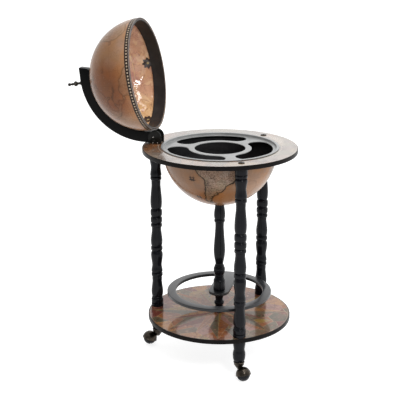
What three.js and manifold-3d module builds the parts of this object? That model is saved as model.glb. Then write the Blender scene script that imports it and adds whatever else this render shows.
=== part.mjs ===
// Floor globe bar: a hinged globe lid over a bowl with a bottle holder, on three turned legs, with a low shelf and casters.
// Millimetres, +Z up. It is laid out from the floor under the centre post, then moved so that the origin is the middle of
// the whole object's bottom. The lid's hinge is at +Y, and the lid is drawn open.
import * as THREE from 'three';
import * as BufferGeometryUtils from 'three/addons/utils/BufferGeometryUtils.js';
import Module from 'manifold-3d';

const wasm = await Module();
wasm.setup();

// ---- driving dimensions ----
const GAP = 0.3;
const TABLE_R = 226.2, TABLE_OPEN_R = 165.9, TABLE_TOP = 645, TABLE_T = 13;
const SHELF_R = 214.7, SHELF_TOP = 129, SHELF_T = 13;
const RING_R = 157, RING_IN_R = 131.5, RING_TOP = 199.5, RING_T = 8.8;
const TONGUE = 31, TONGUE_END = -4, TONGUE_FILLET = 13;
const LEG_R = 195, LEG_AZ = { back: 90, left: 210, right: 330 };
const BOWL_R = 167, BOWL_IN_R = 163.5, BOWL_Z = 640.2, BOWL_LIP_R = 175, BOWL_LIP_T = 3;
const FLOOR_TOP = 530, FLOOR_T = 5;
const HOLDER_FLANGE_R = 172, HOLDER_TOP = 647.3, HOLDER_PLATE_TOP = 640.8, HOLDER_PLATE_T = 2.5, HOLDER_TURN = -2.5;
const WELL_R = 74, POCKET_IN = 92, POCKET_OUT = 153.5, POCKET_HALF = 38;
const LID_R = 163, LID_WALL = 3.5, LID_SKIRT = 7.3, LID_RIM_Z = 641.1;
const LID_Z = LID_RIM_Z + LID_SKIRT;
const ARM_IN = 168, ARM_OUT = 199, ARM_W = 27, ARM_PAST_POLE = 13.5;
const HINGE_Y = 194, HINGE_Z = 654.65, OPEN_DEG = 99.8;
const PIN_R = 2.5, ROD_R = 4, HOLE_R = 4.3;
const WHEEL_R = 20, HOOD_R = 22, HOOD_IN = 20.5, CASTER_OFFSET = 25, AXLE_TURN = 16, HOOD_TILT = 18;
const CASTER_AZ = { back: 106, left: 222.5, right: 325 };
const RIM_SCREW_DEG = 14.5;
const POST_Y = -117.85;

// ---- helpers ----
const rad = (d) => d * Math.PI / 180;
const group = new THREE.Group();
const mats = {
  black: [0x17191b, 0.42, 0.0], wood: [0x1c1d1f, 0.45, 0.0], board: [0x8f6f55, 0.3, 0.0], globe: [0x93704f, 0.35, 0.0],
  holder: [0x8d8f8e, 0.4, 0.1], inner: [0x141416, 0.6, 0.0], liner: [0x3a302c, 0.5, 0.0], steel: [0x9a9a98, 0.35, 0.9],
  brass: [0x5d5142, 0.35, 0.9], wheel: [0x1a1b1f, 0.4, 0.0], iron: [0x242524, 0.4, 0.4],
};
function add(parent, name, geometry, mat) {
  const [color, roughness, metalness] = mats[mat];
  const mesh = new THREE.Mesh(geometry, new THREE.MeshStandardMaterial({ color, roughness, metalness }));
  mesh.name = name;
  parent.add(mesh);
  return mesh;
}
// Turns a profile of [radius, height] about Z. A profile that closes on itself repeats its first point.
function lathe(points, segments, turn = 0) {
  const g = new THREE.LatheGeometry(points.map(([r, z]) => new THREE.Vector2(r, z)), segments);
  g.rotateX(Math.PI / 2);
  g.rotateZ(rad(turn));
  return g;
}
function extrude(shape, z0, z1, curveSegments = 24) {
  const g = new THREE.ExtrudeGeometry(shape, { depth: z1 - z0, bevelEnabled: false, curveSegments });
  g.translate(0, 0, z0);
  return g;
}
function solid(g) {
  let c = g.index ? g.toNonIndexed() : g.clone();
  c.deleteAttribute('normal');
  c.deleteAttribute('uv');
  c = BufferGeometryUtils.mergeVertices(c, 1e-4);
  const vertProperties = new Float32Array(c.attributes.position.array);
  // faces that collapse to a line are left out
  const idx = c.index.array, keep = [];
  for (let i = 0; i < idx.length; i += 3) {
    if (idx[i] !== idx[i + 1] && idx[i + 1] !== idx[i + 2] && idx[i] !== idx[i + 2]) keep.push(idx[i], idx[i + 1], idx[i + 2]);
  }
  return new wasm.Manifold(new wasm.Mesh({ numProp: 3, vertProperties, triVerts: new Uint32Array(keep) }));
}
function surface(m) {
  const mesh = m.getMesh();
  const g = new THREE.BufferGeometry();
  g.setAttribute('position', new THREE.BufferAttribute(new Float32Array(mesh.vertProperties), 3));
  g.setIndex(new THREE.BufferAttribute(new Uint32Array(mesh.triVerts), 1));
  g.computeVertexNormals();
  return g;
}
const cut = (a, ...bs) => surface(bs.reduce((m, b) => m.subtract(solid(b)), solid(a)));
function rodZ(r, z0, z1, seg = 10) {
  const g = new THREE.CylinderGeometry(r, r, z1 - z0, seg);
  g.rotateX(Math.PI / 2);
  g.translate(0, 0, (z0 + z1) / 2);
  return g;
}
function at(g, x, y, z = 0) { g.translate(x, y, z); return g; }
const polar = (r, az) => [r * Math.cos(rad(az)), r * Math.sin(rad(az))];
function hole(shape, x, y, r, n = 10) {
  const p = new THREE.Path();
  for (let i = 0; i <= n; i++) {
    const a = 2 * Math.PI * i / n;
    if (i === 0) p.moveTo(x + r, y); else p.lineTo(x + r * Math.cos(a), y + r * Math.sin(a));
  }
  shape.holes.push(p);
}
function disc(r, n) {
  const s = new THREE.Shape();
  for (let i = 0; i < n; i++) {
    const a = 2 * Math.PI * i / n, x = r * Math.cos(a), y = r * Math.sin(a);
    if (i === 0) s.moveTo(x, y); else s.lineTo(x, y);
  }
  s.closePath();
  return s;
}

// ---- legs: [diameter / 2, height] from the shelf up to the table ----
const LEG = [
  [18.4, SHELF_TOP + GAP], [18.4, 136], [16.38, 156.6], [18.06, 176.2], [14.7, 210.8], [17.12, 238], [14.8, 261.5], [18.27, 292.4], [15.75, 311.8],
  [17.96, 341.5], [14.28, 374.7], [17.43, 409.3], [14.8, 443], [17.54, 463.5], [13.76, 517.5], [17.12, 545], [14.7, 567.5],
  [17.85, 590], [17.85, TABLE_TOP - TABLE_T - GAP],
];
const FOOT = [
  [14.4, 46], [14.4, 52.5], [18.27, 66], [18.27, 74], [15.86, 88.5], [18.06, 104], [18.06, SHELF_TOP - SHELF_T - GAP],
];
for (const [side, az] of Object.entries(LEG_AZ)) {
  const [x, y] = polar(LEG_R, az);
  const legTop = TABLE_TOP - TABLE_T - GAP, legBottom = SHELF_TOP + GAP;
  add(group, `leg_${side}`, lathe([[0, 160], [HOLE_R, 160], [HOLE_R, legBottom], ...LEG, [HOLE_R, legTop], [HOLE_R, 600], [0, 600]], 12), 'wood').position.set(x, y, 0);
  const footTop = SHELF_TOP - SHELF_T - GAP;
  add(group, `foot_${side}`, lathe([[0, 75.6], [HOLE_R, 75.6], [HOLE_R, 46], ...FOOT, [HOLE_R, footTop], [HOLE_R, 96], [0, 96]], 12), 'wood').position.set(x, y, 0);
  add(group, `foot_stud_${side}`, rodZ(ROD_R, 97, 159), 'steel').position.set(x, y, 0);
  if (side === 'back') {
    add(group, 'top_stud_back', rodZ(ROD_R, 601, TABLE_TOP - 0.2), 'steel').position.set(x, y, 0);
  } else {
    add(group, `top_bolt_${side}`, lathe([[0, 601], [ROD_R, 601], [ROD_R, TABLE_TOP + GAP], [9.2, TABLE_TOP + GAP], [9, TABLE_TOP + 1.8], [5.5, TABLE_TOP + 3], [0, TABLE_TOP + 3]], 12), 'iron').position.set(x, y, 0);
  }
}

// ---- shelf, bottle ring and centre post ----
{
  // Three zones share their rings of points, so that the middle zone, where bottles stand, has flat faces clear of legs and post.
  const n = 24, z0 = SHELF_TOP - SHELF_T, z1 = SHELF_TOP, verts = [];
  const ring = (r, k) => Array.from({ length: k }, (_, i) => new THREE.Vector2(...polar(r, 360 * i / k)));
  const holeAt = ([x, y], k = 10) => Array.from({ length: k }, (_, i) => new THREE.Vector2(x + HOLE_R * Math.cos(2 * Math.PI * i / k), y + HOLE_R * Math.sin(2 * Math.PI * i / k))).reverse();
  const rim = ring(SHELF_R, 48), outer = ring(155, n), inner = ring(40, n);
  const legHoles = Object.values(LEG_AZ).map((az) => holeAt(polar(LEG_R, az))), postHole = holeAt([0, 0]);
  const zone = (contour, holes) => {
    const pts = [contour, ...holes].flat();
    for (const [a, b, c] of THREE.ShapeUtils.triangulateShape(contour, holes)) {
      const [p, q, r] = [pts[a], pts[b], pts[c]];
      verts.push(p.x, p.y, z1, q.x, q.y, z1, r.x, r.y, z1, p.x, p.y, z0, r.x, r.y, z0, q.x, q.y, z0);
    }
  };
  zone(rim, [outer.slice().reverse(), ...legHoles]);
  for (let i = 0; i < n; i++) {
    const j = (i + 1) % n, [a, b, c, d] = [inner[i], outer[i], outer[j], inner[j]];
    for (const [p, q, r] of [[a, b, c], [a, c, d]]) verts.push(p.x, p.y, z1, q.x, q.y, z1, r.x, r.y, z1, p.x, p.y, z0, r.x, r.y, z0, q.x, q.y, z0);
  }
  zone(inner, [postHole]);
  for (const loop of [rim, ...legHoles, postHole]) {
    loop.forEach((p, i) => {
      const q = loop[(i + 1) % loop.length];
      verts.push(p.x, p.y, z0, q.x, q.y, z0, q.x, q.y, z1, p.x, p.y, z0, q.x, q.y, z1, p.x, p.y, z1);
    });
  }
  const g = new THREE.BufferGeometry();
  g.setAttribute('position', new THREE.Float32BufferAttribute(verts, 3));
  add(group, 'base_shelf', surface(solid(g)), 'board');
}
{
  // The rail is a ring with a tongue from its +X side, which ends in a round lobe at the post.
  const s = disc(RING_R, 36);
  hole(s, 0, 0, HOLE_R);
  const f = TONGUE_FILLET, cy = TONGUE + f, cx = Math.sqrt((RING_IN_R - f) ** 2 - cy ** 2), a0 = Math.atan2(cy, cx), pts = [];
  for (let i = 0; i <= 32; i++) { const a = a0 + 2 * (Math.PI - a0) * i / 32; pts.push([RING_IN_R * Math.cos(a), RING_IN_R * Math.sin(a)]); }
  for (let i = 1; i <= 3; i++) { const a = -a0 + (Math.PI / 2 + a0) * i / 3; pts.push([cx + f * Math.cos(a), -cy + f * Math.sin(a)]); }
  for (let i = 0; i <= 12; i++) { const a = -Math.PI / 2 - Math.PI * i / 12; pts.push([TONGUE_END + TONGUE * Math.cos(a), TONGUE * Math.sin(a)]); }
  for (let i = 0; i < 3; i++) { const a = -Math.PI / 2 + (Math.PI / 2 + a0) * i / 3; pts.push([cx + f * Math.cos(a), cy + f * Math.sin(a)]); }
  const p = new THREE.Path();
  pts.forEach(([x, y], i) => (i ? p.lineTo(x, y) : p.moveTo(x, y)));
  p.closePath();
  s.holes.push(p);
  add(group, 'bottle_ring', extrude(s, RING_TOP - RING_T, RING_TOP), 'black');
}
add(group, 'post_lower', lathe([[4.5, SHELF_TOP + GAP], [16.17, SHELF_TOP + GAP], [16.17, 137], [11.45, 150], [15.02, 158.7], [10.92, 166.3], [11.55, 174], [15.75, 188], [15.75, RING_TOP - RING_T - GAP - 0.3], [4.5, RING_TOP - RING_T - GAP - 0.3], [4.5, SHELF_TOP + GAP]], 12), 'wood');
add(group, 'post_upper', lathe([[4.5, RING_TOP + GAP], [17.64, RING_TOP + GAP], [17.64, 230], [13.33, 244], [17.32, 265], [12.08, 282], [17.43, 325], [12.92, 398], [17.01, 437], [13.86, 464], [13.86, 472.7], [4.5, 472.7], [4.5, RING_TOP + GAP]], 12), 'wood');
add(group, 'post_rod', rodZ(ROD_R, 104, 492), 'steel');
for (const [name, z] of [['post_nut_lower', 109], ['post_nut_upper', 477.4]]) {
  const s = disc(7.5, 6);
  hole(s, 0, 0, HOLE_R);
  add(group, name, extrude(s, z, z + 6.5), 'steel');
}

// ---- table ring, bowl, inner floor and bottle holder ----
{
  const s = disc(TABLE_R, 48);
  hole(s, 0, 0, TABLE_OPEN_R + 0.4, 48);
  for (const az of Object.values(LEG_AZ)) hole(s, ...polar(LEG_R, az), HOLE_R);
  for (const x of [-7, 7]) hole(s, x, 209, 2.2, 8);
  add(group, 'table_ring', extrude(s, TABLE_TOP - TABLE_T, TABLE_TOP), 'board');
}
{
  const lipTop = TABLE_TOP - TABLE_T - GAP, lipBottom = lipTop - BOWL_LIP_T, n = 8;
  const out = Math.acos((BOWL_Z - lipBottom) / BOWL_R), inn = Math.acos((BOWL_Z - lipTop) / BOWL_IN_R);
  const pts = [[BOWL_IN_R * Math.sin(inn), lipTop], [BOWL_LIP_R, lipTop], [BOWL_LIP_R, lipBottom]];
  for (let i = 0; i <= n; i++) {
    const a = out * (1 - i / n), r = BOWL_R * Math.sin(a);
    pts.push(i === n ? [4.5, BOWL_Z - BOWL_R] : [r, BOWL_Z - BOWL_R * Math.cos(a)]);
  }
  for (let i = 0; i < n; i++) {
    const a = inn * i / n;
    pts.push(i === 0 ? [4.5, BOWL_Z - BOWL_IN_R] : [BOWL_IN_R * Math.sin(a), BOWL_Z - BOWL_IN_R * Math.cos(a)]);
  }
  pts.push(pts[0].slice());
  add(group, 'bowl', lathe(pts.reverse(), 32), 'globe');
}
add(group, 'bowl_floor', lathe([[0, FLOOR_TOP - FLOOR_T], [114, FLOOR_TOP - FLOOR_T], [118.6, FLOOR_TOP], [0, FLOOR_TOP]], 32), 'inner');
{
  const wall = 165.2, plateBottom = HOLDER_PLATE_TOP - HOLDER_PLATE_T, flangeBottom = TABLE_TOP + GAP;
  const body = lathe([[0, plateBottom], [wall, plateBottom], [wall, flangeBottom], [HOLDER_FLANGE_R, flangeBottom], [HOLDER_FLANGE_R, HOLDER_TOP - 0.8], [HOLDER_FLANGE_R - 1, HOLDER_TOP], [wall - 0.5, HOLDER_TOP], [wall - 1.6, HOLDER_TOP - 0.8], [wall - 1.6, HOLDER_PLATE_TOP], [0, HOLDER_PLATE_TOP]], 40);
  const cuts = [rodZ(WELL_R, plateBottom - 5, HOLDER_PLATE_TOP + 5, 28)];
  const mid = (POCKET_IN + POCKET_OUT) / 2, half = (POCKET_OUT - POCKET_IN) / 2;
  for (const az of [30, 150, 270]) {
    const s = new THREE.Shape();
    const pts = [];
    for (let i = 0; i <= 9; i++) pts.push(polar(POCKET_OUT, az - POCKET_HALF + 2 * POCKET_HALF * i / 9));
    const [ex, ey] = polar(mid, az + POCKET_HALF);
    for (let i = 1; i < 6; i++) { const a = rad(az + POCKET_HALF + 180 * i / 6); pts.push([ex + half * Math.cos(a), ey + half * Math.sin(a)]); }
    for (let i = 0; i <= 6; i++) pts.push(polar(POCKET_IN, az + POCKET_HALF - 2 * POCKET_HALF * i / 6));
    const [fx, fy] = polar(mid, az - POCKET_HALF);
    for (let i = 1; i < 6; i++) { const a = rad(az - POCKET_HALF + 180 + 180 * i / 6); pts.push([fx + half * Math.cos(a), fy + half * Math.sin(a)]); }
    pts.forEach(([x, y], i) => (i ? s.lineTo(x, y) : s.moveTo(x, y)));
    s.closePath();
    cuts.push(extrude(s, plateBottom - 5, HOLDER_PLATE_TOP + 5));
  }
  add(group, 'bottle_holder', cut(body, ...cuts), 'holder').rotation.z = rad(HOLDER_TURN);
}

// ---- hinge bracket on the table: two arched cheeks joined by a web ----
const ALONG_X = new THREE.Matrix4().makeBasis(new THREE.Vector3(0, 1, 0), new THREE.Vector3(0, 0, 1), new THREE.Vector3(1, 0, 0));
{
  const z0 = TABLE_TOP + GAP, cy = 192.3, r = 19.4, cz = 685 - r;
  const cheek = (x0) => {
    const s = new THREE.Shape();
    s.moveTo(cy - r, z0);
    s.lineTo(cy + r, z0);
    for (let i = 0; i <= 10; i++) s.lineTo(cy + r * Math.cos(Math.PI * i / 10), cz + r * Math.sin(Math.PI * i / 10));
    s.closePath();
    hole(s, HINGE_Y, HINGE_Z, PIN_R + 0.3);
    const g = extrude(s, x0, x0 + 3);
    g.applyMatrix4(ALONG_X);
    return g;
  };
  const web = new THREE.BoxGeometry(29, 6.6, 2.2);
  web.translate(0, 208.3, z0 + 1.1);
  let m = solid(cheek(14)).add(solid(cheek(-17))).add(solid(web));
  for (const x of [-7, 7]) m = m.subtract(solid(at(lathe([[0, z0 - 1], [2.2, z0 - 1], [2.2, z0 + 0.2], [4.1, z0 + 2.3], [4.1, z0 + 3], [0, z0 + 3]], 12), x, 209)));
  add(group, 'hinge_bracket', surface(m), 'iron');
  for (const [side, x] of [['near', -7], ['far', 7]]) {
    add(group, `bracket_screw_${side}`, lathe([[0, 634], [1.9, 634], [1.9, z0 + 0.4], [3.4, z0 + 2.1], [0, z0 + 2.1]], 12), 'iron').position.set(x, 209, 0);
  }
  const pin = lathe([[0, -19.4], [3, -19.4], [4.4, -18.4], [4.4, -17.3], [PIN_R, -17.3], [PIN_R, 17.3], [4.4, 17.3], [4.4, 18.4], [3, 19.4], [0, 19.4]], 12);
  pin.rotateY(Math.PI / 2);
  add(group, 'hinge_pin', at(pin, 0, HINGE_Y, HINGE_Z), 'steel');
}

// ---- lid: built closed about the hinge axis, then opened ----
const lid = new THREE.Group();
lid.position.set(0, HINGE_Y, HINGE_Z);
lid.rotation.x = -rad(OPEN_DEG);
group.add(lid);
const inLid = (g) => at(g, 0, -HINGE_Y, LID_Z - HINGE_Z);
// A piece made along +Z at the globe's centre, leaned from the pole towards the hinge.
const lean = (g, deg) => { g.rotateX(-rad(deg)); return g; };
{
  const n = 8, r0 = 3.3, IN = LID_R - LID_WALL, pts = [];
  pts.push([IN, -LID_SKIRT], [LID_R, -LID_SKIRT]);
  for (let i = 0; i < n; i++) { const a = Math.PI / 2 * i / n; pts.push([LID_R * Math.cos(a), LID_R * Math.sin(a)]); }
  pts.push([r0, LID_R], [r0, IN]);
  for (let i = n - 1; i >= 0; i--) { const a = Math.PI / 2 * i / n; pts.push([IN * Math.cos(a), IN * Math.sin(a)]); }
  pts.push([IN, -LID_SKIRT]);
  const screwHole = lean(rodZ(2.3, IN - 8, LID_R + 8, 10), 90 - RIM_SCREW_DEG);
  add(lid, 'lid_shell', inLid(cut(lathe(pts, 32), screwHole)), 'globe');
}
{
  const ro = LID_R - LID_WALL - 1.2, t = 3, pts = [];
  const zs = [-LID_SKIRT + 0.5, 0, 29];
  for (const z of zs) pts.push([Math.sqrt(ro * ro - Math.max(z, 0) ** 2) - 0.05, z]);
  for (const z of zs.slice().reverse()) pts.push([Math.sqrt(ro * ro - Math.max(z, 0) ** 2) - t, z]);
  pts.push(pts[0].slice());
  add(lid, 'lid_rim_liner', inLid(lathe(pts, 32)), 'liner');
}
{
  const s = new THREE.Shape(), a0 = 0, a1 = 90 + ARM_PAST_POLE, n = 22;
  for (let i = 0; i <= n; i++) { const [x, y] = polar(ARM_OUT, a0 + (a1 - a0) * i / n); if (i) s.lineTo(x, y); else s.moveTo(x, y); }
  // the end past the pole is rounded on the side of the globe
  const f = 13, turn = Math.asin(f / (ARM_IN + f)) * 180 / Math.PI, [cx, cy] = polar(ARM_IN + f, a1 - turn);
  for (let i = 0; i < 5; i++) { const a = rad(a1 + 90 + (90 - turn) * i / 5); s.lineTo(cx + f * Math.cos(a), cy + f * Math.sin(a)); }
  for (let i = n; i >= 0; i--) s.lineTo(...polar(ARM_IN, a0 + (a1 - turn - a0) * i / n));
  s.closePath();
  const blank = extrude(s, -ARM_W / 2, ARM_W / 2);
  blank.applyMatrix4(ALONG_X);
  const lug = rodZ(9, -ARM_W / 2, ARM_W / 2, 20);
  lug.rotateY(Math.PI / 2);
  at(lug, 0, HINGE_Y, HINGE_Z - LID_Z);
  const bore = rodZ(PIN_R + 0.3, -20, 20, 12);
  bore.rotateY(Math.PI / 2);
  at(bore, 0, HINGE_Y, HINGE_Z - LID_Z);
  const m = solid(blank).add(solid(lug)).subtract(solid(bore)).subtract(solid(rodZ(3.3, 160, 205, 12))).subtract(solid(lean(rodZ(2.3, 160, 187, 10), 90 - RIM_SCREW_DEG)));
  add(lid, 'meridian_arm', inLid(surface(m)), 'wood');
}
add(lid, 'finial', inLid(lathe([[0, 147], [3, 147], [3, ARM_OUT + GAP], [6.2, ARM_OUT + GAP], [6.2, 204], [3.9, 207], [3.9, 213.5], [7.8, 219.5], [3.4, 225], [3.8, 229], [2.3, 235.2], [4.8, 239.8], [3, 243.8], [0, 244.6]], 10)), 'brass');
add(lid, 'pole_spacer', inLid(lathe([[3.3, LID_R + GAP], [8, LID_R + GAP], [8, ARM_IN - GAP - 0.2], [3.3, ARM_IN - GAP - 0.2], [3.3, LID_R + GAP]], 14)), 'black');
{
  const s = disc(6.4, 6);
  hole(s, 0, 0, 3.3);
  add(lid, 'pole_nut', inLid(extrude(s, 153.6, 158.9)), 'steel');
}
add(lid, 'rim_spacer', inLid(lean(lathe([[2.3, LID_R + GAP], [6, LID_R + GAP], [6, ARM_IN - GAP - 0.2], [2.3, ARM_IN - GAP - 0.2], [2.3, LID_R + GAP]], 12), 90 - RIM_SCREW_DEG)), 'black');
add(lid, 'rim_screw', inLid(lean(lathe([[0, 155.9], [3, 156.1], [4.6, 157.4], [4.6, 158.2], [2, 158.2], [2, 186], [0, 186]], 12), 90 - RIM_SCREW_DEG)), 'steel');

// ---- casters: cup on the foot, swivel hood over the ball, two domed wheels on one axle ----
for (const [side, az] of Object.entries(LEG_AZ)) {
  const [x, y] = polar(LEG_R, az);
  add(group, `caster_cup_${side}`, lathe([[0, 31.5], [3, 31.5], [3, 40], [12.8, 40], [14.8, 41.6], [15.8, 44.5], [15.8, 51.5], [14.8, 51.5], [14.8, 45.7], [4, 45.7], [4, 75], [0, 75]], 12), 'brass').position.set(x, y, 0);
  const g = new THREE.Group();
  g.position.set(x, y, 0);
  g.rotation.z = rad(CASTER_AZ[side]);
  group.add(g);
  const c = new THREE.Vector3(CASTER_OFFSET, 0, WHEEL_R);
  // The axle runs along local u, turned a little from the offset.
  const place = (geo) => { geo.rotateY(Math.PI / 2); geo.rotateZ(rad(AXLE_TURN)); return geo.translate(c.x, c.y, c.z); };
  const ball = (r, seg, rows) => {
    const pts = [];
    for (let i = 0; i <= rows; i++) { const a = -Math.PI / 2 + Math.PI * i / rows; pts.push([i === 0 || i === rows ? 0 : r * Math.cos(a), r * Math.sin(a)]); }
    return lathe(pts, seg);
  };
  const box = (w, d, h) => new THREE.BoxGeometry(w, d, h);
  // The hood is cut off just under the ball's middle, and leans so that the trailing side shows more of the wheels.
  const below = box(80, 80, 60).translate(0, 0, -31.5).rotateY(rad(-HOOD_TILT)).translate(c.x, 0, c.z);
  let hood = solid(ball(HOOD_R, 14, 8).translate(c.x, c.y, c.z)).subtract(solid(below));
  hood = hood.add(solid(lathe([[0, 27.5], [7.4, 27.5], [9.2, 31], [12.4, 38.2], [12.4, 39.7], [0, 39.7]], 12))).add(solid(box(12, 13, 9).translate(6, 0, 32.5)));
  hood = hood.subtract(solid(ball(HOOD_IN + 0.35, 14, 8).translate(c.x, c.y, c.z))).subtract(solid(rodZ(3.3, 31, 45, 12)));
  const strip = new THREE.Shape();
  strip.moveTo(-5.5, 0);
  for (let i = 0; i <= 6; i++) strip.lineTo(5.5 * Math.cos(Math.PI + Math.PI * i / 6), 5.5 * Math.sin(Math.PI + Math.PI * i / 6));
  strip.lineTo(5.5, 21);
  strip.lineTo(-5.5, 21);
  strip.closePath();
  hole(strip, 0, 0, 2.4, 8);
  const web = extrude(strip, -1.2, 1.2);
  web.applyMatrix4(ALONG_X);
  web.rotateZ(rad(AXLE_TURN));
  web.translate(c.x, c.y, c.z);
  add(g, `caster_hood_${side}`, surface(hood.add(solid(web))), 'brass');
  const dome = (sign) => {
    const p = [[0, 11.8], [2.3, 11.8], [2.3, 1.6], [WHEEL_R, 1.6], [19.6, 4.2], [16.6, 11], [10.6, 16.8], [0, 19.8]];
    return place(lathe(sign > 0 ? p : p.map(([r, s]) => [r, -s]).reverse(), 16));
  };
  add(g, `wheel_outer_${side}`, dome(1), 'wheel');
  add(g, `wheel_inner_${side}`, dome(-1), 'wheel');
  add(g, `axle_${side}`, place(rodZ(2, -11.4, 11.4, 8)), 'steel');
}

const frame = new THREE.Group();
frame.position.y = POST_Y;
frame.add(group);

export default frame;
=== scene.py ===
import math

import bmesh
import bpy
import numpy as np
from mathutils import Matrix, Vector
from mathutils.geometry import tessellate_polygon


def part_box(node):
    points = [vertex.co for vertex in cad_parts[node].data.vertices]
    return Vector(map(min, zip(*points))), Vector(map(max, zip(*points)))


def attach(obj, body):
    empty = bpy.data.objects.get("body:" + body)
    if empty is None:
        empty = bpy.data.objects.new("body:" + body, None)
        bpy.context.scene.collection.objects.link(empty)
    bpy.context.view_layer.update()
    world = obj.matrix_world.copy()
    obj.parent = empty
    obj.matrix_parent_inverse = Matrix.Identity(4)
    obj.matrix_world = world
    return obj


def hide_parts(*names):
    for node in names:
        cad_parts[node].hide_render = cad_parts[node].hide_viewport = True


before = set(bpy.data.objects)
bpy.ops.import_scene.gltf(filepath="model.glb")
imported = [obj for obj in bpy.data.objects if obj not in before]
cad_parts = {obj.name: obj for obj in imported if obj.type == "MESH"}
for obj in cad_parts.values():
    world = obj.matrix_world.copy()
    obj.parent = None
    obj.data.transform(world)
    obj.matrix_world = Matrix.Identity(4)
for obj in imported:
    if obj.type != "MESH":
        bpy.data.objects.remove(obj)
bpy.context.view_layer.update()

# Everything is laid out in millimetres from the floor under the centre post, as part.mjs is, then moved by OY.
_lo, _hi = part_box("post_upper")
OY = (_lo[1] + _hi[1]) / 2

TABLE_R, TABLE_IN, TABLE_TOP, TABLE_T = 226.2, 166.3, 645.0, 13.0
SHELF_R, SHELF_TOP, SHELF_T = 214.7, 129.0, 13.0
LEG_R, LEG_AZ = 195.0, {"back": 90.0, "left": 210.0, "right": 330.0}
CASTER_AZ = {"back": 106.0, "left": 222.5, "right": 325.0}
BOWL_R, BOWL_IN, BOWL_Z = 167.0, 163.5, 640.2
LID_R, LID_IN, LID_Z = 163.0, 159.5, 648.4
HINGE = np.array([0.0, 194.0, 654.65])
OPEN = math.radians(99.8)


# ---------------------------------------------------------------- geometry helpers
def rad(d):
    return d * math.pi / 180.0


def polar(r, az):
    return r * math.cos(rad(az)), r * math.sin(rad(az))


def rot_z(v, deg):
    c, s = math.cos(rad(deg)), math.sin(rad(deg))
    v = np.asarray(v, float)
    return np.stack([v[:, 0] * c - v[:, 1] * s, v[:, 0] * s + v[:, 1] * c, v[:, 2]], 1)


def stand(v):
    return v


def lid(v):
    """From the globe's centre, lid closed, to the lid's place at rest, which is open."""
    p = v + np.array([0, 0, LID_Z]) - HINGE
    c, s = math.cos(OPEN), math.sin(OPEN)
    return np.stack([p[:, 0], p[:, 1] * c + p[:, 2] * s, -p[:, 1] * s + p[:, 2] * c], 1) + HINGE


def at_leg(side, turned=False):
    x, y = polar(LEG_R, LEG_AZ[side])

    def place(v):
        w = rot_z(v, CASTER_AZ[side]) if turned else v
        return w + np.array([x, y, 0.0])
    return place


def spline(points, k=4):
    """Points on a smooth curve through the given [radius, height] points."""
    p = np.array(points, float)
    if len(p) < 3:
        return p
    ext = np.vstack([2 * p[0] - p[1], p, 2 * p[-1] - p[-2]])
    out = []
    for i in range(1, len(ext) - 2):
        a, b, c, d = ext[i - 1], ext[i], ext[i + 1], ext[i + 2]
        for j in range(k):
            t = j / k
            out.append(0.5 * ((2 * b) + (c - a) * t + (2 * a - 5 * b + 4 * c - d) * t * t + (3 * b - a - 3 * c + d) * t ** 3))
    out.append(p[-1])
    return np.array(out)


def turned(segments, k=3):
    """A turned profile: smooth inside each segment, with a crease between segments."""
    rows = []
    for s in segments:
        for q in spline(s, k):
            if not rows or abs(rows[-1][0] - q[0]) + abs(rows[-1][1] - q[1]) > 1e-4:
                rows.append((float(q[0]), float(q[1])))
    return rows


def lathe(profile, seg=96, loop=False, mats=None):
    """Turns [radius, height] about Z. mats gives the material of each span of the profile."""
    verts, rows = [], []
    ang = np.arange(seg) * 2 * math.pi / seg
    ca, sa = np.cos(ang), np.sin(ang)
    n0 = 0
    for p in profile:
        r, z = p[0], p[1]
        if r < 1e-6:
            verts.append(np.array([[0.0, 0.0, z]]))
            rows.append((n0, 1))
            n0 += 1
        else:
            verts.append(np.stack([r * ca, r * sa, np.full(seg, z)], 1))
            rows.append((n0, seg))
            n0 += seg
    faces, fm = [], []
    pairs = [(i, i + 1) for i in range(len(rows) - 1)] + ([(len(rows) - 1, 0)] if loop else [])
    for i, j in pairs:
        (a, na), (b, nb) = rows[i], rows[j]
        m = mats[i] if mats is not None else 0
        if na == 1 and nb == 1:
            continue
        for t in range(seg):
            u = (t + 1) % seg
            if na == 1:
                faces.append((a, b + t, b + u))
            elif nb == 1:
                faces.append((a + t, a + u, b))
            else:
                faces.append((a + t, a + u, b + u, b + t))
            fm.append(m)
    return np.vstack(verts), faces, fm


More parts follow.
